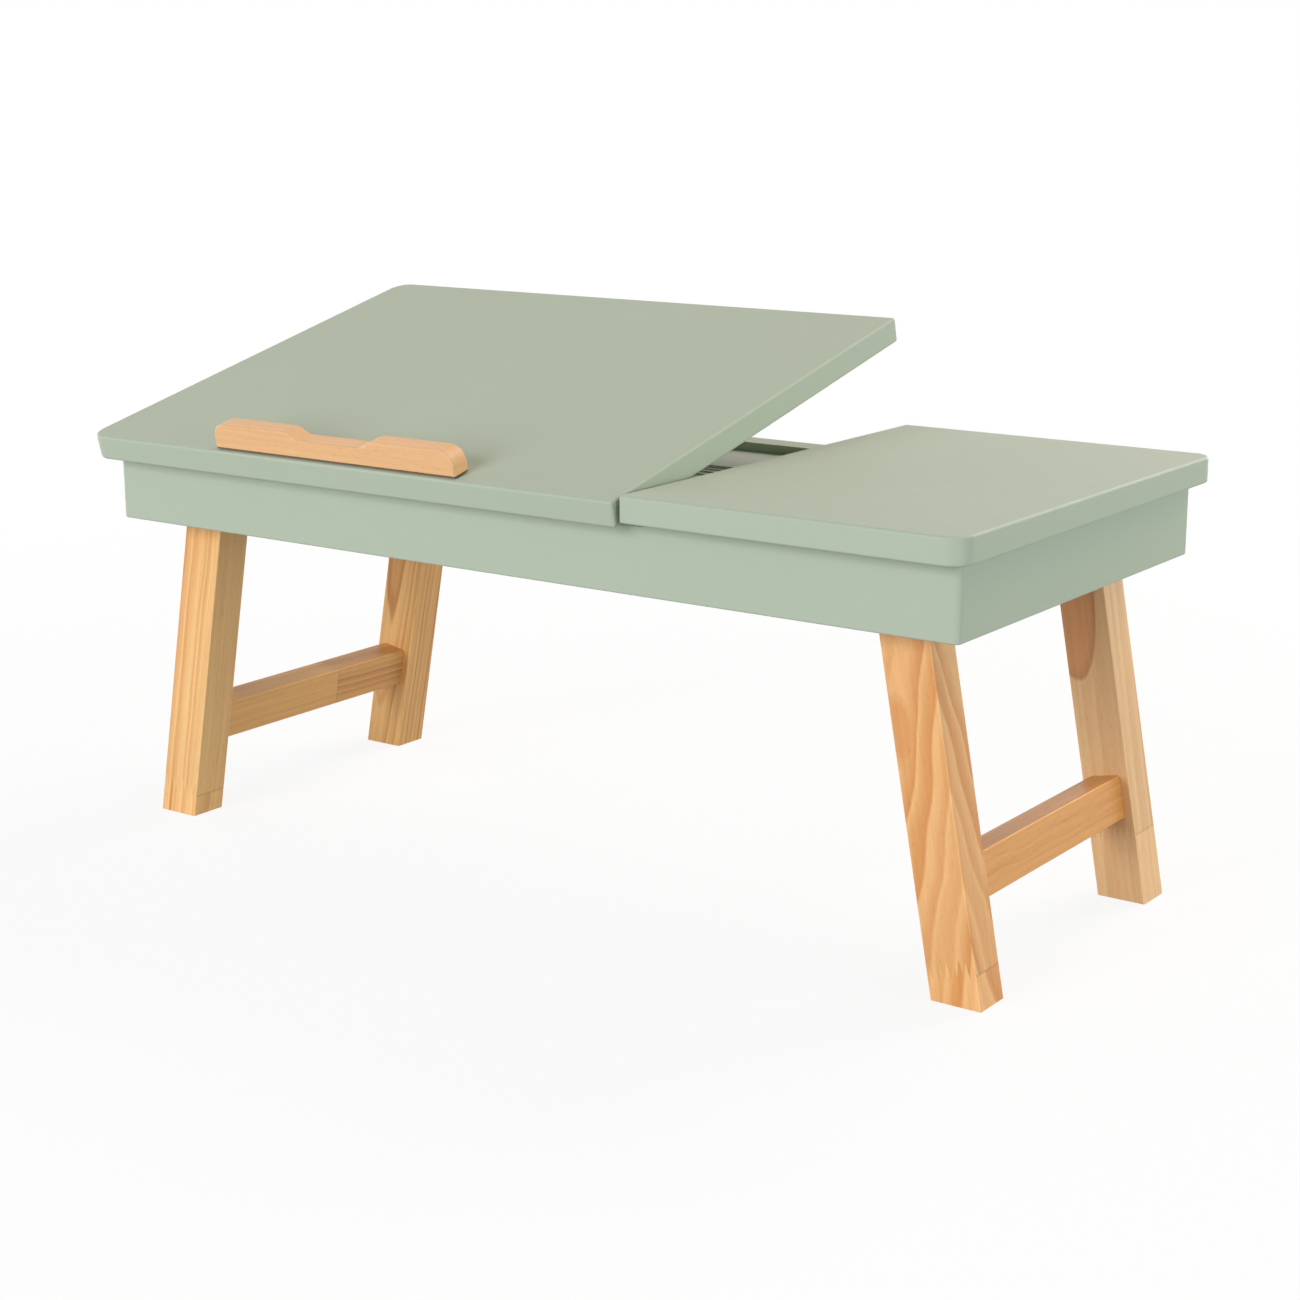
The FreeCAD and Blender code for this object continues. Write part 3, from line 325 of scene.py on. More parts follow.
    def ramp(self, value: Plug, stops: Steps) -> Plug:
        """A grey ramp.

        Args:
            value: The number that runs along the ramp.
            stops: Position and grey level of each stop.

        Returns:
            The level's socket.
        """
        node = self.add("ValToRGB")
        points = node.color_ramp.elements
        while len(points) < len(stops):
            points.new(1.0)
        for point, (position, level) in zip(points, stops):
            point.position = position
            point.color = (level, level, level, 1.0)
        return self.fill(node, {0: value}).outputs[0]


class Effect:
    """A shared surface effect, kept as one shader node group with named inputs."""

    name = "effect"
    vectors: tuple[str, ...] = ()
    numbers: tuple[str, ...] = ()
    colours: tuple[str, ...] = ()
    results = {"Color": "Color", "Roughness": "Float", "Height": "Float"}

    def group(self) -> bpy.types.NodeTree:
        """Build the effect's node group on first use.

        Returns:
            The node group.
        """
        known = bpy.data.node_groups.get(self.name)
        if known:
            return known
        tree = bpy.data.node_groups.new(self.name, "ShaderNodeTree")
        for kind, names in (("Vector", self.vectors), ("Float", self.numbers), ("Color", self.colours)):
            for name in names:
                tree.interface.new_socket(name, in_out="INPUT", socket_type=f"NodeSocket{kind}")
        for name, kind in self.results.items():
            tree.interface.new_socket(name, in_out="OUTPUT", socket_type=f"NodeSocket{kind}")
        wires = Wiring(tree)
        entry = tree.nodes.new("NodeGroupInput")
        wanted = self.vectors + self.numbers + self.colours
        wires.fill(tree.nodes.new("NodeGroupOutput"),
                   self.wire(wires, {name: entry.outputs[name] for name in wanted}))
        return tree

    def wire(self, wires: Wiring, given: Plugs) -> Plugs:
        """Wire the effect.

        Args:
            wires: The group's tree.
            given: Sockets of the group's inputs, by name.

        Returns:
            Sockets for the group's outputs, by name.
        """
        raise NotImplementedError


class TimberGrain(Effect):
    """Rings, fibres, a finger joint and heartwood in a length of timber, with its grain along local Z."""

    name = "timber_grain"
    vectors = ("Place", "Facing", "Pith", "Lean", "Heart Place", "Heart Size")
    numbers = ("Seed", "Ring", "Sway", "Contrast", "End Contrast", "Breadth", "Figure", "Joint",
               "Heart Tone", "Heart Swell", "Heart Blur", "Foot Level", "End Tone", "Edge Tone")
    colours = ("Early", "Late")
    crosswise = (1.0, 1.0, 0.0)

    finger_pitch = 3.7
    finger_length = 10.0
    glue_line = (0.2, 0.9)
    glue_shade = 0.20
    board_shift = 46.0

    ripple_grain = (22.0, 22.0, 120.0)
    ripple_depth = 3.0
    heart_ripple = 0.20
    heart_rim = (0.80, 0.96)
    heart_rim_shade = 0.30
    heart_rings = 0.2

    sway_length = 62.0
    sway_depth = 4.0
    drift_pitch = 0.55
    drift_depth = 1.6
    faintest_ring = 0.30
    thin_ring = ((0.0, 0.0), (0.35, 0.06), (0.70, 0.45), (0.90, 1.0), (0.96, 0.85), (1.0, 0.0))
    broad_ring = ((0.0, 0.0), (0.20, 0.10), (0.50, 0.70), (0.80, 1.0), (0.91, 0.60), (1.0, 0.0))

    fibre_grain = (0.42, 0.42, 15.0)
    fibre_depth = 0.17
    streak_grain = (2.4, 2.4, 95.0)
    streak_depth = 0.32
    hair_grain = (1.0, 1.0, 130.0)
    hair_cut = (0.60, 0.70)
    hair_depth = 0.12
    fleck_grain = (0.7, 0.7, 5.5)
    fleck_cut = (0.69, 0.75)
    fleck_depth = 0.12
    # a painted shadow line along the foot of a piece that sits on the panel
    foot_fade = (0.0, 0.15)
    foot_shade = 0.80
    warm_grain = (26.0, 26.0, 150.0)
    warm_span = (0.40, 0.75, 0.0, 0.30)

    fibre_gloss = (0.3, 0.7, 0.36, 0.46)
    late_gloss = -0.04
    fibre_height = 0.7
    late_height = 0.35

    def joint(self, wires: Wiring, given: Plugs, across: Plug, along: Plug) -> tuple[Plug, Plug]:
        """A finger joint, below which the timber goes on in another board.

        Args:
            wires: The group's tree.
            given: Sockets of the group's inputs, by name.
            across: Place across the timber.
            along: Place along the timber.

        Returns:
            Masks of the main board, above the joint, and of the glue line.
        """
        half_pitch = self.finger_pitch / 2
        tooth = wires.times(wires.math("PINGPONG", across, half_pitch), self.finger_length / half_pitch)
        over = wires.minus(along, wires.plus(given["Joint"], tooth))
        glue = wires.span(wires.math("ABSOLUTE", over), *self.glue_line, 1.0, 0.0)
        return wires.math("GREATER_THAN", over, 0.0), glue

    def heartwood(self, wires: Wiring, given: Plugs, wave: Plug) -> tuple[Plug, Plug, Plug]:
        """A knot or a tongue of heartwood, which the rings bend round.

        Args:
            wires: The group's tree.
            given: Sockets of the group's inputs, by name.
            wave: A slow wave through the timber.

        Returns:
            Masks of the heartwood and of its darker outline, and how far it pushes the rings.
        """
        away = wires.vector("SUBTRACT", given["Place"], given["Heart Place"])
        reach = wires.vector("LENGTH", wires.vector("DIVIDE", away, given["Heart Size"]))
        spread = wires.math("POWER", wires.plus(1.0, wires.times(reach, reach)), 2.0)
        border = wires.plus(reach, wires.times(wave, self.heart_ripple))
        heart = wires.math("DIVIDE", wires.minus(1.0, border), given["Heart Blur"], clamp=True)
        outline = wires.times(heart, wires.span(border, *self.heart_rim))
        return heart, outline, wires.math("DIVIDE", given["Heart Swell"], spread)

    def rings(self, wires: Wiring, given: Plugs, along: Plug, main: Plug, other: Plug, bend: Plug) -> Plug:
        """Growth rings round a pith that wanders along the timber.

        Args:
            wires: The group's tree.
            given: Sockets of the group's inputs, by name.
            along: Place along the timber.
            main: Mask of the main board.
            other: Mask of the other board.
            bend: How far the rings are pushed out.

        Returns:
            How much late wood there is, before its contrast.
        """
        seed = given["Seed"]
        shift = wires.stray(wires.chance(seed), wires.times(other, self.board_shift))
        sway = wires.line_noise(wires.plus(wires.math("DIVIDE", along, self.sway_length), seed), detail=1.0)
        swing = wires.stray(sway, wires.times(given["Sway"], self.sway_depth))
        pith = given["Pith"]
        for move in (shift, swing, wires.vector("SCALE", given["Lean"], along)):
            pith = wires.vector("ADD", pith, move)
        flat = wires.vector("MULTIPLY", wires.vector("SUBTRACT", given["Place"], pith), self.crosswise)
        count = wires.math("DIVIDE", wires.plus(wires.vector("LENGTH", flat), bend), given["Ring"])
        drift = wires.line_noise(wires.plus(wires.times(count, self.drift_pitch), seed)).outputs[0]
        ring = wires.plus(count, wires.times(drift, self.drift_depth))
        key = wires.plus(wires.math("FLOOR", ring), wires.plus(seed, main))
        strength = wires.span(wires.chance(key).outputs[0], 0.0, 1.0, self.faintest_ring, 1.0)
        phase = wires.math("FRACT", ring)
        thin = wires.ramp(phase, self.thin_ring)
        broad = wires.ramp(phase, self.broad_ring)
        late = wires.plus(thin, wires.times(wires.minus(broad, thin), given["Breadth"]))
        return wires.times(late, strength)

    def wire(self, wires: Wiring, given: Plugs) -> Plugs:
        """Wire the joint, heartwood, rings and fibres into colour, roughness and height, with painted light
        on eased edges and a painted shadow line at the foot.

        Args:
            wires: The group's tree.
            given: Sockets of the group's inputs, by name.

        Returns:
            Sockets for the group's outputs, by name.
        """

        place = given["Place"]
        heart_tone = given["Heart Tone"]
        across, _, along = wires.parts(place)
        main, glue = self.joint(wires, given, across, along)
        other = wires.minus(1.0, main)
        wave = wires.centred(wires.noise(place, self.ripple_grain))
        heart, outline, swell = self.heartwood(wires, given, wave)
        bend = wires.plus(wires.times(wave, self.ripple_depth), swell)
        rings = self.rings(wires, given, along, main, other, bend)
        calm = wires.plus(1.0, wires.times(other, wires.minus(given["End Contrast"], 1.0)))
        contrast = wires.times(given["Contrast"], calm)
        late = wires.math("MULTIPLY", rings, contrast, clamp=True)
        late = wires.times(late, wires.span(heart, 0.0, 1.0, 1.0, self.heart_rings))

        # fibres, broader streaks, dark hairs and short resin flecks
        fibre = wires.noise(place, self.fibre_grain)
        streak = wires.noise(place, self.streak_grain)
        hair = wires.span(wires.noise(place, self.hair_grain, detail=1.0), *self.hair_cut)
        fleck = wires.span(wires.noise(place, self.fleck_grain, detail=0.0), *self.fleck_cut)
        figure = wires.plus(wires.times(wires.centred(fibre), self.fibre_depth),
                            wires.times(wires.centred(streak), self.streak_depth))
        figure = wires.minus(figure, wires.times(hair, self.hair_depth))
        tone = wires.shade((
            (figure, given["Figure"]),
            (other, given["End Tone"]),
            (glue, -self.glue_shade),
            (fleck, -self.fleck_depth),
            # painted edge light: a positive depth paints a highlight along eased edges, a negative one
            # paints shade
            (wires.rim(wires.parts(given["Facing"])[1]), given["Edge Tone"]),
            # painted shadow line along the foot, below the shadow level
            (wires.span(wires.minus(across, given["Foot Level"]), *self.foot_fade), -self.foot_shade),
            (outline, wires.times(heart_tone, -self.heart_rim_shade)),
        ))

        warm = wires.span(wires.noise(place, self.warm_grain, detail=1.0), *self.warm_span)
        wood = given["Early"]
        for share in (wires.times(warm, contrast), late, wires.times(heart, heart_tone)):
            wood = wires.blend(share, wood, given["Late"])
        gloss = wires.plus(wires.span(fibre, *self.fibre_gloss), wires.times(late, self.late_gloss))
        height = wires.plus(wires.times(fibre, self.fibre_height), wires.times(late, self.late_height))
        return {"Color": wires.vector("SCALE", wood, tone), "Roughness": gloss, "Height": height}


class SmoothSkin(Effect):
    """A sprayed or moulded skin: faint drifts of tone, fine orange peel and a few specks."""

    name = "smooth_skin"
    vectors = ("Place", "Facing")
    numbers = ("Drift", "Peel", "Gloss Low", "Gloss High", "Edge Tone")
    colours = ("Base",)
    broad_grain = (140.0, 140.0, 140.0)
    patch_grain = (11.0, 11.0, 11.0)
    patch_share = 0.35
    patch_height = 0.5
    peel_grain = (1.0, 1.0, 1.0)
    peel_height = 0.8
    speck_grain = (0.9, 0.9, 0.9)
    speck_cut = (0.80, 0.86)
    speck_depth = 0.05

    def wire(self, wires: Wiring, given: Plugs) -> Plugs:
        """Wire the drift of tone, the peel, the specks and the painted light on eased edges.

        Args:
            wires: The group's tree.
            given: Sockets of the group's inputs, by name.

        Returns:
            Sockets for the group's outputs, by name.
        """

        place = given["Place"]
        broad = wires.noise(place, self.broad_grain, detail=1.0)
        patch = wires.noise(place, self.patch_grain)
        stretched = wires.vector("SCALE", place, wires.math("DIVIDE", 1.0, given["Peel"]))
        peel = wires.noise(stretched, self.peel_grain)
        speck = wires.span(wires.noise(place, self.speck_grain, detail=0.0), *self.speck_cut)
        drift = wires.plus(wires.centred(broad), wires.times(wires.centred(patch), self.patch_share))
        # painted edge light on eased edges: a highlight when positive, shade when negative
        rim = wires.rim(wires.parts(given["Facing"])[2])
        tone = wires.shade(((drift, given["Drift"]), (speck, -self.speck_depth), (rim, given["Edge Tone"])))
        spread = wires.minus(given["Gloss High"], given["Gloss Low"])
        gloss = wires.plus(given["Gloss Low"], wires.times(patch, spread))
        height = wires.plus(wires.times(peel, self.peel_height), wires.times(patch, self.patch_height))
        return {"Color": wires.vector("SCALE", given["Base"], tone), "Roughness": gloss, "Height": height}


class WorkedMetal(Effect):
    """Rolled or turned metal: fine lines along one direction, a cloudy plate and small pits."""

    name = "worked_metal"
    vectors = ("Place",)
    colours = ("Base", "Dull")
    layers = 3.0
    line_grain = (28.0, 0.16, 0.16)
    line_tone = (0.25, 0.75, 0.90, 1.06)
    line_gloss = (0.3, 0.7, 0.24, 0.36)
    line_height = 0.6
    cloud_grain = (3.5, 3.5, 3.5)
    cloud_cut = (0.35, 0.70)
    cloud_gloss = 0.10
    pit_grain = (0.5, 0.5, 0.5)
    pit_cut = (0.70, 0.80)
    pit_shade = 0.2
    pit_height = 0.8

    def wire(self, wires: Wiring, given: Plugs) -> Plugs:
        """Wire the lines, the clouds and the pits.

        Args:
            wires: The group's tree.
            given: Sockets of the group's inputs, by name.

        Returns:
            Sockets for the group's outputs, by name.
        """
        place = given["Place"]
        lines = wires.noise(place, self.line_grain, self.layers)
        cloud = wires.span(wires.noise(place, self.cloud_grain, self.layers), *self.cloud_cut)
        pit = wires.span(wires.noise(place, self.pit_grain, detail=1.0), *self.pit_cut)
        metal = wires.blend(cloud, given["Base"], given["Dull"])
        tone = wires.minus(wires.span(lines, *self.line_tone), wires.times(pit, self.pit_shade))
        gloss = wires.plus(wires.span(lines, *self.line_gloss), wires.times(cloud, self.cloud_gloss))
        height = wires.minus(wires.times(lines, self.line_height), wires.times(pit, self.pit_height))
        return {"Color": wires.vector("SCALE", metal, tone), "Roughness": gloss, "Height": height}


# Finishes


@dataclass(frozen=True)
class Finish:
    """A finish: a shared effect on a Principled BSDF, with the shader's own constant values.

    The pattern's own axes start at one place and are turned. A field with the name of one of the effect's
    inputs is fed into it.
    """

    effect: ClassVar[Effect] = Effect()
    name: str
    specular: float = 0.5
    metallic: float = 0.0
    coat: float = 0.0
    coat_roughness: float = 0.3
    bump: float = 0.1
    relief: float = 0.2
    start: Triple = ZERO
    turned: Triple = ZERO

    def material(self) -> bpy.types.Material:
        """Build the finish's material on first use.

        Returns:
            The material.
        """
        known = bpy.data.materials.get(self.name)
        if known:
            return known
        made = bpy.data.materials.new(self.name)
        made.use_nodes = True
        wires = Wiring(made.node_tree)
        space = wires.add("TexCoord")
        effect = wires.add("Group", node_tree=self.effect.group())
        axes = wires.fill(wires.add("Mapping", vector_type="TEXTURE"), {
            "Vector": space.outputs["Object"], "Location": self.start, "Rotation": self.turned,
            "Scale": (MM, MM, MM)})
        wires.feed(effect.inputs["Place"], axes.outputs[0])
        if "Facing" in effect.inputs:
            facing = wires.fill(wires.add("Mapping", vector_type="TEXTURE"), {
                "Vector": space.outputs["Normal"], "Rotation": self.turned})
            wires.feed(effect.inputs["Facing"], facing.outputs[0])
        for value in fields(self):
            socket = value.name.replace("_", " ").title()
            if socket in effect.inputs:
                wires.feed(effect.inputs[socket], getattr(self, value.name))
        relief = wires.fill(wires.add("Bump"), {
            "Strength": self.bump, "Distance": self.relief * MM, "Height": effect.outputs["Height"]})
        shader = wires.fill(wires.add("BsdfPrincipled"), {
            "Base Color": effect.outputs["Color"], "Roughness": effect.outputs["Roughness"],
            "Normal": relief.outputs[0], "Specular IOR Level": self.specular, "Metallic": self.metallic,
            "Coat Weight": self.coat, "Coat Roughness": self.coat_roughness})
        wires.fill(wires.add("OutputMaterial"), {"Surface": shader.outputs[0]})
        return made


@dataclass(frozen=True)
class SkinFinish(Finish):
    """Paint or moulded plastic."""

    effect: ClassVar[Effect] = SmoothSkin()
    base: Colour = WHITE
    drift: float = 0.03
    peel: float = 1.4
    gloss_low: float = 0.42
    gloss_high: float = 0.54
    edge_tone: float = 0.0


@dataclass(frozen=True)
class MetalFinish(Finish):
    """Plated or bare metal, with a bright and a dull colour."""

    effect: ClassVar[Effect] = WorkedMetal()
    base: Colour = WHITE
    dull: Colour = WHITE


@dataclass(frozen=True)
class Timber(Finish):
    """A length of timber, with its own axes and its own place in the tree.

    A joint, a painted foot shadow or heartwood at the far distance lies outside the timber.
    """

    effect: ClassVar[Effect] = TimberGrain()
    far: ClassVar[float] = 1000.0
    early: Colour = WHITE
    late: Colour = WHITE
    seed: float = 0.0
    pith: Triple = (0.0, 30.0, 0.0)
    lean: Triple = ZERO
    ring: float = 5.0
    sway: float = 4.0
    contrast: float = 1.0
    end_contrast: float = 1.0
    breadth: float = 0.0
    figure: float = 1.0
    joint: float = -far
    heart_place: Triple = (0.0, 0.0, far)
    heart_size: Triple = (1.0, 1.0, 1.0)
    heart_tone: float = 0.5
    heart_swell: float = 0.0
    heart_blur: float = 0.04
    foot_level: float = far
    end_tone: float = 0.0
    edge_tone: float = 0.0


# The paint's eased edges are darkened a little: painted shade that dulls their highlight.
SAGE_PAINT = SkinFinish(
    "satin_sage_paint", specular=0.2, bump=0.05, relief=0.12, base=colour(178, 188, 167), edge_tone=-0.02)
BOARD_PAINT = SkinFinish(
    "pale_board_paint", specular=0.3, relief=0.15, base=colour(186, 194, 180), drift=0.06, peel=2.2,
    gloss_low=0.55, gloss_high=0.68)
NYLON = SkinFinish(
    "natural_nylon", specular=0.45, bump=0.06, relief=0.10, base=colour(232, 229, 219), drift=0.05,
    peel=0.8, gloss_low=0.38, gloss_high=0.50)
STEEL = MetalFinish(
    "zinc_plated_steel", metallic=1.0, bump=0.08, relief=0.05, base=colour(214, 215, 216),
    dull=colour(186, 188, 191))
BRASS = replace(STEEL, name="turned_brass", base=colour(214, 184, 120), dull=colour(186, 150, 88))

DOWEL_WOOD = Timber(
    "dowel_timber", specular=0.3, bump=0.2, early=colour(222, 190, 146), late=colour(196, 156, 108),
    ring=2.0, contrast=0.6)
# The ledge's eased edges are darkened as painted shade, and a painted shadow line runs along its foot.
LEDGE_WOOD = Timber(
    "ledge_timber", specular=0.4, bump=0.08, relief=0.10, early=colour(235, 184, 130),
    late=colour(212, 146, 90), seed=4.6, pith=(24.0, 60.0, 0.0), lean=(0.02, 0.03, 0.0), ring=3.2, sway=0.8,
    contrast=0.14, figure=0.40, edge_tone=-0.08, foot_level=-18.4)
# The pine's eased edges are lightened: a painted highlight along them.
PINE = Timber(
    "pine", specular=0.35, coat=0.06, coat_roughness=0.28, relief=0.12, early=colour(244, 190, 121),
    late=colour(208, 120, 44), edge_tone=0.20)
# Darker, browner late wood: partly the timber's own tone, partly painted shade for the back-left leg and
# left stretcher under the table top.
SHADED_BROWN_PINE = replace(PINE, name="brown_pine", early=colour(242, 190, 120), late=colour(180, 104, 42))

RIGHT_FRONT_LEG = replace(
    PINE, name="pine_right_front_leg", early=colour(242, 187, 124), late=colour(212, 136, 68), seed=2.3,
    pith=(-46.0, 46.0, 0.0), lean=(0.11, -0.11, 0.0), ring=7.5, sway=2.2, contrast=0.85, breadth=1.0,
    figure=0.5, joint=-200.0, end_tone=0.06, heart_place=(-10.0, -12.5, -70.0), heart_size=(9.0, 9.0, 21.0),
    heart_blur=0.35, heart_tone=0.6, heart_swell=-6.0)
# Its paler, greyer early wood is painted cool shade, as on the leg's inner face under the table.
RIGHT_BACK_LEG = replace(
    PINE, name="pine_right_back_leg", early=colour(236, 192, 138), seed=5.1, pith=(60.0, 60.0, 0.0),
    lean=(0.02, 0.02, 0.0), ring=8.0, sway=1.0, contrast=0.25, breadth=1.0, figure=0.7, joint=-178.0,
    end_tone=0.07, heart_place=(-9.0, -12.5, -32.0), heart_size=(17.0, 9.0, 54.0), heart_tone=0.6)
RIGHT_STRETCHER = replace(
    PINE, name="pine_right_stretcher", early=colour(229, 164, 91), seed=7.7, pith=(46.0, 122.0, 0.0),
    lean=(0.04, 0.02, 0.0), sway=1.2, contrast=0.40, breadth=0.4, figure=0.7)
LEFT_FRONT_LEG = replace(
    PINE, name="pine_left_front_leg", early=colour(247, 198, 132), seed=8.4, pith=(80.5, 0.0, 0.0),
    lean=(0.005, 0.01, 0.0), ring=6.2, sway=0.5, contrast=0.9, breadth=0.35, figure=0.8, joint=-200.0,
    end_tone=0.05)
# Built on the shaded brown pine: its darker tone is partly painted shade under the table top.
LEFT_BACK_LEG = replace(
    SHADED_BROWN_PINE, name="pine_left_back_leg", seed=11.9, pith=(-7.0, -25.3, 0.0), lean=(0.0, 0.036, 0.0),
    ring=3.8, sway=0.5, contrast=0.9, breadth=0.3, figure=0.8)
LEFT_STRETCHER = replace(
    SHADED_BROWN_PINE, name="pine_left_stretcher", early=colour(236, 178, 108), seed=13.2, pith=(12.0, 220.0, 0.0),
    lean=(0.01, 0.01, 0.0), sway=0.6, end_contrast=0.2, breadth=0.5, figure=0.8, joint=12.0, end_tone=0.03)


# Modelling by hand, in code


class Bench:
    """Selection and edit-mode steps for new pieces.

    A face is flat where this much of its normal, or more, lies along Z.
    """

    flat = 0.9

    @staticmethod
    def clear() -> None:
        """Leave edit mode and deselect everything."""
        if bpy.context.object and bpy.context.object.mode != "OBJECT":
            bpy.ops.object.mode_set(mode="OBJECT")
        bpy.ops.object.select_all(action="DESELECT")

    @staticmethod
    def pick(*pieces: bpy.types.Object) -> None:
        """Select objects alone, the first of them active.

        Args:
            pieces: The objects.
        """
        Bench.clear()
        for piece in pieces:
            piece.select_set(True)
        bpy.context.view_layer.objects.active = pieces[0]

    @staticmethod
    def pick_faces(piece: bpy.types.Object, wanted: Callable[[bmesh.types.BMFace], bool]) -> None:
        """Select the wanted faces alone, in edit mode.

        Args:
            piece: The object, which is taken into edit mode.
            wanted: Says whether a face is selected.
        """
        Bench.pick(piece)
        bpy.ops.object.mode_set(mode="EDIT")
        bpy.ops.mesh.select_mode(type="FACE")
        bpy.ops.mesh.select_all(action="DESELECT")
        shape = bmesh.from_edit_mesh(piece.data)
        for face in shape.faces:
            face.select_set(wanted(face))
        bmesh.update_edit_mesh(piece.data)

    @staticmethod
    def pick_top(piece: bpy.types.Object) -> None:
        """Select the faces that look up, in edit mode."""
        Bench.pick_faces(piece, lambda face: face.normal.z > Bench.flat)

    @staticmethod
    def pick_foot(piece: bpy.types.Object) -> None:
        """Select the faces that look down, in edit mode."""
        Bench.pick_faces(piece, lambda face: face.normal.z < -Bench.flat)

    @staticmethod
    def apply() -> None:
        """Move the active object's place, turn and scale into its mesh."""
        bpy.ops.object.transform_apply(location=True, rotation=True, scale=True)

    @staticmethod
    def rod(sides: int, radius: float, length: float, middle: float) -> bpy.types.Object:
        """Add an upright rod about the Z axis.

        Args:
            sides: Number of its flats.
            radius: Its radius.
            length: Its length.
            middle: Height of its middle.

        Returns:
            The rod.
        """
        Bench.clear()
        bpy.ops.mesh.primitive_cylinder_add(vertices=sides, radius=radius * MM, depth=length * MM,
                                            location=(0.0, 0.0, middle * MM))
        Bench.apply()
        return bpy.context.object

    @staticmethod
    def taper(scale: float) -> None:
        """Scale what is selected about the Z axis."""
        bpy.ops.transform.resize(value=(scale, scale, 1.0), center_override=ZERO)

    @staticmethod
    def step(rise: float, scale: float) -> None:
        """Extrude the selected face along Z and scale it about the axis.

        Args:
            rise: How far it goes.
            scale: Its new size as a share of the old one.
        """
        bpy.ops.mesh.extrude_region_move(TRANSFORM_OT_translate={"value": (0.0, 0.0, rise * MM)})
        Bench.taper(scale)

    @staticmethod
    def head(shank: bpy.types.Object, steps: Steps, height: float, flare: float) -> None:
        """Raise a head on a shank.

        Args:
            shank: The shank.
            steps: Rise as a share of the head's height, and change of width, of each step.
            height: The head's height.
            flare: The head's width as a share of the shank's.
        """
        Bench.pick_top(shank)
        for rise_share, scale in steps:
            Bench.step(rise_share * height, scale * flare)
            flare = 1.0
        bpy.ops.object.mode_set(mode="OBJECT")

    @staticmethod
    def cut(piece: bpy.types.Object, tool: bpy.types.Object) -> None:
        """Cut one object out of another.

        Args:
            piece: The object that is cut.
            tool: The object that cuts, which is then deleted.
        """
        Bench.pick(piece)
        cut = piece.modifiers.new("cut", "BOOLEAN")
        cut.operation = "DIFFERENCE"
        cut.solver = "EXACT"
        cut.object = tool
        bpy.ops.object.modifier_apply(modifier=cut.name)
        Bench.pick(tool)
        bpy.ops.object.delete()

    @staticmethod
    def smooth(piece: bpy.types.Object, degrees: float) -> None:
        """Shade an object smooth, apart from edges sharper than an angle."""
        Bench.pick(piece)
        bpy.ops.object.shade_smooth_by_angle(angle=math.radians(degrees))

    @staticmethod
    def copies(pattern: bpy.types.Object, name: str, places: Sequence[Matrix]) -> bpy.types.Object:
        """Copy a pattern to several places and join the copies into one piece.

        Args:
            pattern: The object that is copied, which is then deleted.
            name: Name of the joined piece.
            places: Place and turn of each copy.

        Returns:
            The joined piece, at the origin.
        """
        made = []
        for place in places:
            Bench.pick(pattern)
            bpy.ops.object.duplicate(linked=False)
            copy = bpy.context.object
            copy.matrix_world = place
            Bench.apply()
            made.append(copy)
        Bench.pick(pattern)
        bpy.ops.object.delete()
        Bench.pick(*made)
        bpy.ops.object.join()
        piece = bpy.context.object
        piece.name = name
        piece.data.name = name
        return piece


@dataclass(frozen=True)
class CrossScrew:
    """A wood screw with a cross recess, along Z with the face of its head at the origin."""

    form: HeadForm
    head_radius: float
    head_height: float
    shank_radius: float
    length: float
    sides: int = 28
    point_share: float = 0.2
    tip_share: float = 0.12
    recess_share: float = 0.62
    recess_width_share: float = 0.17
    recess_depth_share: float = 0.78
    recess_foot_share: float = 0.6
    sharp: float = 32.0

    def build(self) -> bpy.types.Object:
        """Model the screw: shank, point, head and cross recess.

        Returns:
            The screw.
        """
        shank = self.length - self.head_height
        straight = shank * (1 - self.point_share)
        screw = Bench.rod(self.sides, self.shank_radius, straight, -self.head_height - straight / 2)
        Bench.pick_foot(screw)
        Bench.step(-shank * self.point_share, self.tip_share)
        Bench.head(screw, self.form.value, self.head_height, self.head_radius / self.shank_radius)
        for turn in (0.0, math.pi / 2):
            Bench.cut(screw, self.wing(turn))
        Bench.smooth(screw, self.sharp)
        return screw

    def wing(self, turn: float) -> bpy.types.Object:
        """Model one wing of the recess, narrower at its foot.

        Args:
            turn: Its turn about the screw's axis.

        Returns:
            The cutting tool.
        """
        Bench.clear()
        bpy.ops.mesh.primitive_cube_add(size=2 * MM)
        tool = bpy.context.object
        tool.scale = (self.head_radius * self.recess_share, self.head_radius * self.recess_width_share,
                      self.head_height * self.recess_depth_share)
        tool.rotation_euler = (0.0, 0.0, turn)
        Bench.apply()
        Bench.pick_foot(tool)
        Bench.taper(self.recess_foot_share)
        bpy.ops.object.mode_set(mode="OBJECT")
        return tool


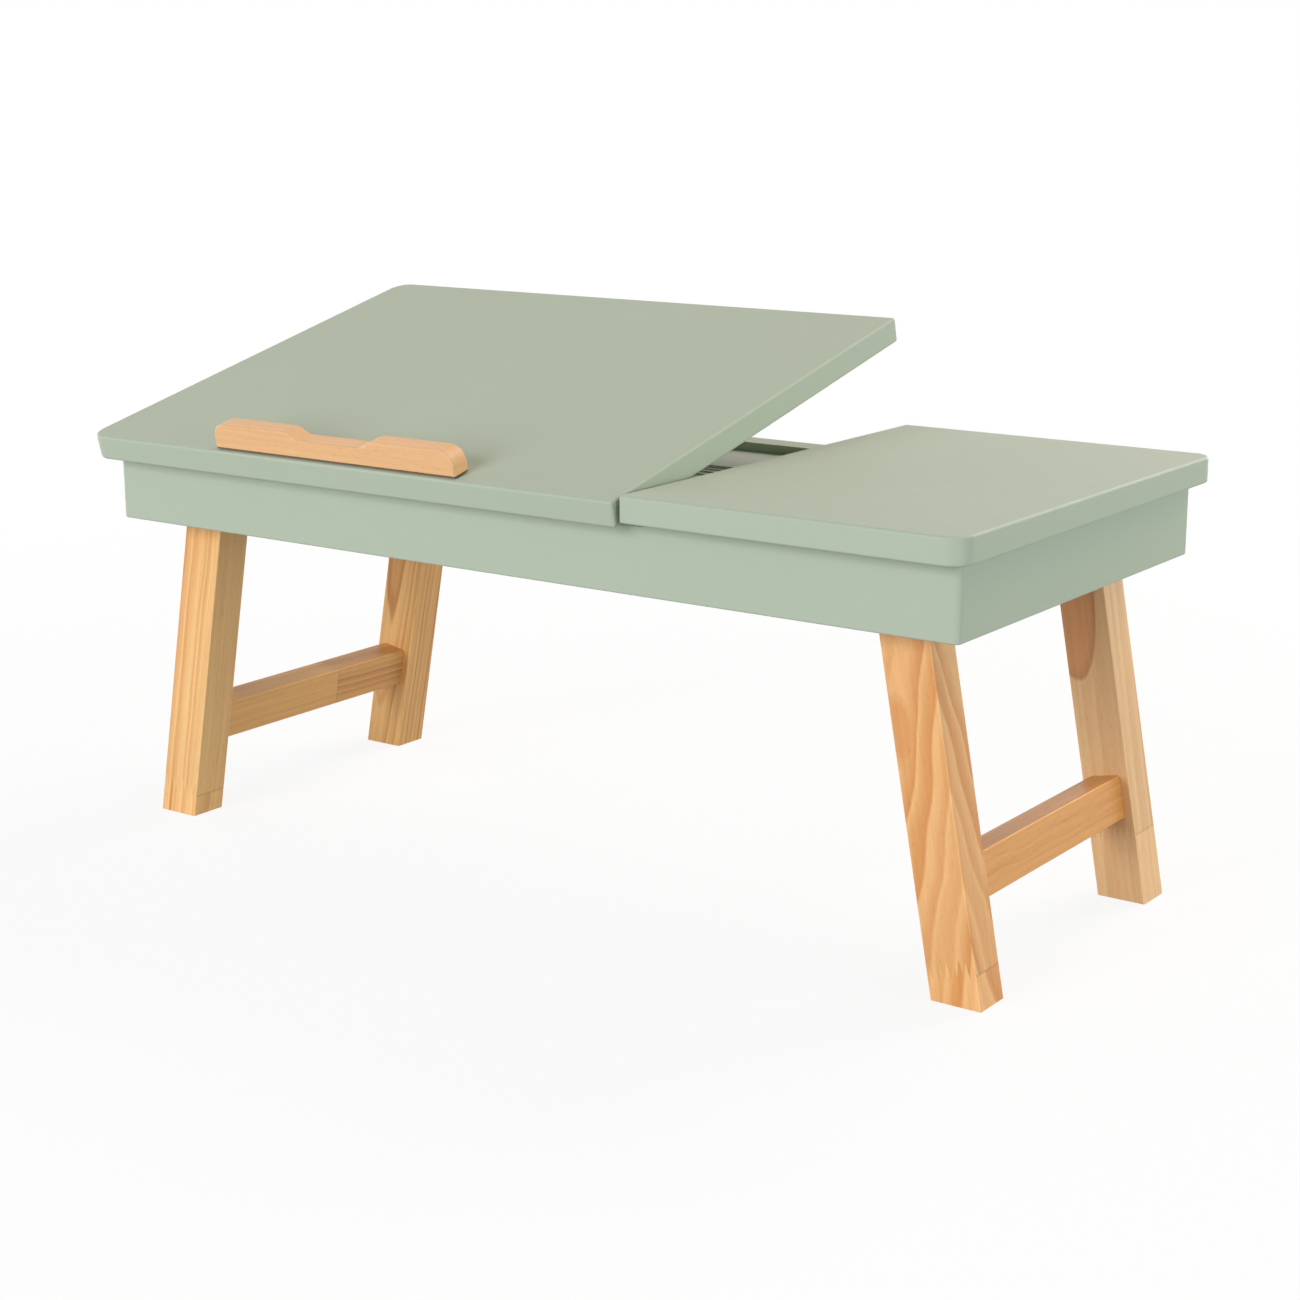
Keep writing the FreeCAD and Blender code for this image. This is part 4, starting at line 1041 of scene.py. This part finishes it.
@dataclass(frozen=True)
class SocketBolt:
    """A pivot bolt with a hexagon socket, along Z with the seat of its head at the origin."""

    head_radius: float
    head_height: float
    shank_radius: float
    length: float
    steps: Steps = ((0.0, 1.0), (0.10, 1.0), (0.62, 1.0), (0.16, 0.97), (0.12, 0.89))
    chamfer: float = 0.4
    chamfer_share: float = 0.86
    socket_radius: float = 3.1
    socket_depth: float = 2.4
    socket_sides: int = 6
    socket_point: float = 0.5
    socket_point_share: float = 0.35
    sides: int = 48
    knurls: int = 24
    knurl_shares: tuple[float, float] = (0.2, 0.7)
    knurl_border: float = 0.08
    knurl_depth: float = 0.16
    sharp: float = 25.0

    def build(self) -> bpy.types.Object:
        """Model the bolt: chamfered shank, rounded and knurled head, hexagon socket.

        Returns:
            The bolt.
        """
        bolt = Bench.rod(self.sides, self.shank_radius, self.length, -self.length / 2)
        Bench.pick_foot(bolt)
        Bench.step(-self.chamfer, self.chamfer_share)
        Bench.head(bolt, self.steps, self.head_height, self.head_radius / self.shank_radius)
        Bench.pick_faces(bolt, self.sunk)
        bpy.ops.mesh.inset(thickness=self.knurl_border * MM, depth=-self.knurl_depth * MM,
                           use_individual=True)
        bpy.ops.object.mode_set(mode="OBJECT")
        tool = Bench.rod(self.socket_sides, self.socket_radius, 2 * self.socket_depth, self.head_height)
        Bench.pick_foot(tool)
        Bench.step(-self.socket_point, self.socket_point_share)
        bpy.ops.object.mode_set(mode="OBJECT")
        Bench.cut(bolt, tool)
        Bench.smooth(bolt, self.sharp)
        return bolt

    def sunk(self, face: bmesh.types.BMFace) -> bool:
        """Say whether a face is sunk for grip, as every second flat of the head's side is.

        Args:
            face: The face.

        Returns:
            True for a flat in the sunk half of a knurl.
        """
        spot = face.calc_center_median() / MM
        low, high = (share * self.head_height for share in self.knurl_shares)
        pitch = 2 * math.pi / self.knurls
        outside = math.hypot(spot.x, spot.y) > Bench.flat * self.head_radius and low < spot.z < high
        upright = abs(face.normal.z) < 1 - Bench.flat
        return outside and upright and math.atan2(spot.y, spot.x) % pitch < pitch / 2


HINGE_SCREW = CrossScrew(
    HeadForm.COUNTERSUNK, head_radius=2.1, head_height=0.9, shank_radius=1.2, length=10.9)
SADDLE_SCREW = CrossScrew(
    HeadForm.PAN, head_radius=2.3, head_height=1.5, shank_radius=1.2, length=11.2)
LEDGE_SCREW = CrossScrew(
    HeadForm.COUNTERSUNK, head_radius=3.5, head_height=1.75, shank_radius=1.75, length=22.0)
PIVOT_BOLT = SocketBolt(head_radius=6.0, head_height=4.0, shank_radius=3.0, length=38.3)


# Sub-assemblies


@dataclass
class Assembly:
    """A sub-assembly: CAD nodes that get finishes, and fasteners modelled here."""

    nodes: dict[str, bpy.types.Object]
    joints: dict[str, dict]

    def dress(self, finish: Finish, *names: str) -> None:
        """Give a finish to CAD nodes.

        Args:
            finish: The finish.
            names: Names of the nodes.
        """
        for name in names:
            for slot in self.nodes[name].material_slots:
                slot.material = finish.material()
            LOG.info("%s: %s", name, finish.name)

    def fasten(self, fastener: Union[CrossScrew, SocketBolt], places: Sequence[Matrix], name: str,
               body: str, node: str) -> None:
        """Model a steel fastener, copy it to its places and let the copies stand for a node.

        Args:
            fastener: The screw or bolt.
            places: Place and turn of each copy.
            name: Name of the piece that the copies make.
            body: The body it rides on.
            node: The node that it stands for.
        """
        piece = Bench.copies(fastener.build(), name, places)
        piece.data.materials.clear()
        piece.data.materials.append(STEEL.material())
        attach(piece, body)
        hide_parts(node)
        LOG.info("%s on %s: %s", piece.name, body, STEEL.name)

    def build(self) -> None:
        """Model and dress the sub-assembly."""
        raise NotImplementedError


@dataclass
class TopAndApron(Assembly):
    """The painted carcass: fixed top, tilting panel, apron and support board."""

    def build(self) -> None:
        """Paint the boards and leave the dowels bare."""
        self.dress(SAGE_PAINT, "fixed_top", "tilt_panel")
        self.dress(SAGE_PAINT, "front_apron", "back_apron", "left_apron", "right_apron")
        self.dress(BOARD_PAINT, "support_board")
        self.dress(DOWEL_WOOD, "apron_dowels", "fixed_top_dowels")


@dataclass
class LegFrame(Assembly):
    """A folding leg frame: two legs, a stretcher and its dowels, of finger-jointed pine."""

    side: Side
    front: Timber
    back: Timber
    rail: Timber

    def build(self) -> None:
        """Give each piece its own timber, with the grain along its length."""
        frame = self.side.name.lower()
        fold = self.joints[f"{frame}_leg_fold"]
        x, _, z = fold["pos_m"]
        splay = fold["range_deg"][1] - RIGHT_ANGLE
        upright = Matrix.Rotation(math.radians(-self.side.value * splay), 3, "Y")
        level = upright @ Matrix.Rotation(-math.pi / 2, 3, "X")
        for piece, timber, grain in (("front_leg", self.front, upright), ("back_leg", self.back, upright),
                                     ("stretcher", self.rail, level)):
            low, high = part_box(f"{frame}_{piece}")
            start = (x, (low.y + high.y) / 2, z)
            self.dress(replace(timber, start=start, turned=tuple(grain.to_euler())), f"{frame}_{piece}")
        self.dress(DOWEL_WOOD, f"{frame}_stretcher_dowels")
        self.dress(NYLON, f"{frame}_leg_bushes")


@dataclass
class ReadingPanel(Assembly):
    """What rides on the tilting panel: ledge, hinge leaf, saddles and their screws."""

    body: str = "reading_panel"
    hinge_screws: int = 6
    hinge_inset: float = 10.0
    hinge_level: float = 0.8
    saddle_half: float = 75.0
    saddle_line: float = 100.0
    saddle_reach: float = 6.35
    saddle_level: float = -0.5
    ledge_half: float = 63.0
    ledge_line: float = -3.0
    ledge_level: float = 1.7

    def __post_init__(self) -> None:
        """Take the hinge line's middle and the panel's slope at rest from the joint."""
        self.hinge: Triple = tuple(self.joints["panel_tilt"]["pos_m"])
        self.tilt: float = math.radians(-self.joints["panel_tilt"]["range_deg"][0])

    def at(self, x: float, y: float, z: float) -> Matrix:
        """Place on the raised panel for a screw driven up into it.

        Args:
            x: Distance from the panel's middle.
            y: Distance back from the hinge line, along the panel.
            z: Height above the hinge line, square to the panel.

        Returns:
            Place and turn, with the head facing down.
        """
        raised = Matrix.Translation(self.hinge) @ Matrix.Rotation(self.tilt, 4, "X")
        return raised @ Matrix.Translation((x * MM, y * MM, z * MM)) @ Matrix.Rotation(math.pi, 4, "X")

    def hinge_places(self) -> list[float]:
        """Share out a leaf's screws along it.

        Returns:
            Distance of each screw from the panel's middle.
        """
        low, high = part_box("hinge_panel_leaf")
        pitch = (high.x - low.x) / MM / self.hinge_screws
        return [(count - (self.hinge_screws - 1) / 2) * pitch for count in range(self.hinge_screws)]

    def build(self) -> None:
        """Dress the ledge and the plates, and model the screws."""
        lengthwise = Matrix.Rotation(self.tilt, 3, "X") @ Matrix.Rotation(math.pi / 2, 3, "Y")
        self.dress(replace(LEDGE_WOOD, start=self.hinge, turned=tuple(lengthwise.to_euler())), "book_ledge")
        self.dress(STEEL, "hinge_panel_leaf", "prop_saddles")

        places = [self.at(x, self.hinge_inset, self.hinge_level) for x in self.hinge_places()]
        self.fasten(HINGE_SCREW, places, "hinge_panel_screw_row", self.body, "hinge_panel_screws")
        places = [self.at(x * self.saddle_half, self.saddle_line + y * self.saddle_reach, self.saddle_level)
                  for x in (-1, 1) for y in (-1, 1)]
        self.fasten(SADDLE_SCREW, places, "saddle_screw_set", self.body, "saddle_screws")
        places = [self.at(x * self.ledge_half, self.ledge_line, self.ledge_level) for x in (-1, 1)]
        self.fasten(LEDGE_SCREW, places, "ledge_screw_pair", self.body, "ledge_screws")


@dataclass
class FrameHardware(Assembly):
    """Metal and nylon: the hinge's frame leaf with its pin and screws, the prop and the leg pivots."""

    panel: ReadingPanel
    body: str = "frame"

    def build(self) -> None:
        """Dress the plates and sleeves, and model screws and bolts."""
        self.dress(STEEL, "hinge_frame_leaf", "hinge_pin", "prop_bail")
        self.dress(BRASS, "pivot_inserts")
        self.dress(NYLON, "pivot_spacers")

        panel = self.panel
        middle = Matrix.Translation(panel.hinge)
        places = [middle @ Matrix.Translation((x * MM, panel.hinge_inset * MM, -panel.hinge_level * MM))
                  for x in panel.hinge_places()]
        self.fasten(HINGE_SCREW, places, "hinge_frame_screw_row", self.body, "hinge_frame_screws")

        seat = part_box("pivot_bolts")[1].y - PIVOT_BOLT.length * MM
        places = []
        for side in Side:
            x, _, z = self.joints[f"{side.name.lower()}_leg_fold"]["pos_m"]
            for end in End:
                inward = UP.rotation_difference(Vector((0.0, -end.value, 0.0)))
                places.append(Matrix.Translation((x, end.value * seat, z)) @ inward.to_matrix().to_4x4())
        self.fasten(PIVOT_BOLT, places, "pivot_bolt_set", self.body, "pivot_bolts")


# Studio


@dataclass(frozen=True)
class Lamp:
    """A soft lamp, wide and high, that points at a spot."""

    name: str
    place: Triple
    width: float
    height: float
    power: float
    tint: Triple
    target: Triple = (0.0, 0.0, 0.2)

    def build(self) -> None:
        """Add the lamp to the scene."""
        facing = (Vector(self.target) - Vector(self.place)).to_track_quat("-Z", "Y").to_euler()
        Bench.clear()
        bpy.ops.object.light_add(type="AREA", location=self.place, rotation=facing)
        lamp = bpy.context.object
        lamp.name = self.name
        lamp.data.shape = "RECTANGLE"
        lamp.data.size = self.width
        lamp.data.size_y = self.height
        lamp.data.energy = self.power
        lamp.data.color = self.tint


@dataclass
class Studio:
    """White floor, soft lamps, white surroundings and the camera."""

    floor_size: float = 60.0
    floor_white: Colour = (0.96, 0.96, 0.96, 1.0)
    floor_bounce: Colour = (0.36, 0.36, 0.36, 1.0)
    floor_glow: float = 0.87
    floor_near: float = 0.45
    floor_far: float = 1.20
    sky: float = 0.25
    camera_place: Triple = (0.836113, -1.147866, 0.476612)
    camera_turn: Triple = (76.10404, 0.14906, 35.65401)
    lens: float = 67.34907
    sensor: float = 36.0
    nearest: float = 0.01
    farthest: float = 200.0
    lamps: tuple[Lamp, ...] = (
        Lamp("back_right", (0.5, 2.0, 1.9), 1.6, 1.6, 47.0, (1.0, 0.84, 0.77)),
        Lamp("back_fill", (0.6, 2.75, 0.6), 1.5, 1.0, 20.0, (0.86, 0.98, 1.0)),
        Lamp("front_left", (-0.4, -2.7, 0.9), 1.6, 1.6, 62.0, (0.92, 0.945, 1.0)),
        Lamp("right_fill", (2.7, -0.1, 0.58), 2.6, 1.0, 31.0, (0.88, 0.98, 1.0)),
        Lamp("left_fill", (-2.7, -0.1, 0.58), 2.6, 1.0, 20.0, (0.96, 0.98, 0.96)),
    )

    def build(self) -> None:
        """Set up the floor, the light and the camera."""
        scene = bpy.context.scene
        scene.view_settings.view_transform = "Standard"
        self.floor()
        self.surroundings()
        for lamp in self.lamps:
            lamp.build()
        Bench.clear()
        bpy.ops.object.camera_add(location=self.camera_place,
                                  rotation=tuple(math.radians(angle) for angle in self.camera_turn))
        camera = bpy.context.object
        camera.name = "photo_camera"
        camera.data.sensor_fit = "HORIZONTAL"
        camera.data.sensor_width = self.sensor
        camera.data.lens = self.lens
        camera.data.clip_start = self.nearest
        camera.data.clip_end = self.farthest
        scene.camera = camera

    def seen_white(self, wires: Wiring) -> Plug:
        """Find the rays that see the white surroundings: from the camera, or off gloss and through glass.

        Args:
            wires: The material's or the world's tree.

        Returns:
            One for such rays, otherwise zero.
        """
        rays = wires.add("LightPath")
        seen = wires.math("MAXIMUM", rays.outputs["Is Camera Ray"], rays.outputs["Is Glossy Ray"])
        return wires.math("MAXIMUM", seen, rays.outputs["Is Transmission Ray"])

    def floor(self) -> None:
        """A white floor that keeps a faint shadow."""
        Bench.clear()
        bpy.ops.mesh.primitive_plane_add(size=self.floor_size)
        floor = bpy.context.object
        floor.name = "studio_floor"
        white = bpy.data.materials.new("studio_white")
        white.use_nodes = True
        wires = Wiring(white.node_tree)
        seen = self.seen_white(wires)
        matt = wires.fill(wires.add("BsdfDiffuse"), {
            "Color": wires.blend(seen, self.floor_bounce, self.floor_white)})
        away = wires.vector("LENGTH", wires.add("TexCoord").outputs["Object"])
        share = wires.span(away, self.floor_near, self.floor_far, self.floor_glow, 1.0)
        mixed = wires.fill(wires.add("MixShader"), {
            0: wires.times(seen, share), 1: matt.outputs[0], 2: wires.add("Emission").outputs[0]})
        wires.fill(wires.add("OutputMaterial"), {"Surface": mixed.outputs[0]})
        floor.data.materials.append(white)

    def surroundings(self) -> None:
        """A soft sky that looks white."""
        world = bpy.data.worlds.new("studio_sky")
        bpy.context.scene.world = world
        world.use_nodes = True
        wires = Wiring(world.node_tree)
        strength = wires.span(self.seen_white(wires), 0.0, 1.0, self.sky, 1.0)
        sky = wires.fill(wires.add("Background"), {"Color": WHITE, "Strength": strength})
        wires.fill(wires.add("OutputWorld"), {"Surface": sky.outputs[0]})


def main() -> None:
    """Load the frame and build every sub-assembly."""
    logging.basicConfig(level=logging.INFO, format="%(name)s: %(message)s")
    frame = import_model()
    nodes = frame["nodes"]
    joints = {joint["name"]: joint for joint in frame["joints"]}
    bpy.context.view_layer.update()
    Studio().build()
    panel = ReadingPanel(nodes, joints)
    assemblies: list[Assembly] = [
        TopAndApron(nodes, joints),
        panel,
        FrameHardware(nodes, joints, panel),
        LegFrame(nodes, joints, Side.RIGHT, RIGHT_FRONT_LEG, RIGHT_BACK_LEG, RIGHT_STRETCHER),
        LegFrame(nodes, joints, Side.LEFT, LEFT_FRONT_LEG, LEFT_BACK_LEG, LEFT_STRETCHER),
    ]
    for assembly in assemblies:
        assembly.build()
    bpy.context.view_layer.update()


if __name__ == "__main__":
    main()
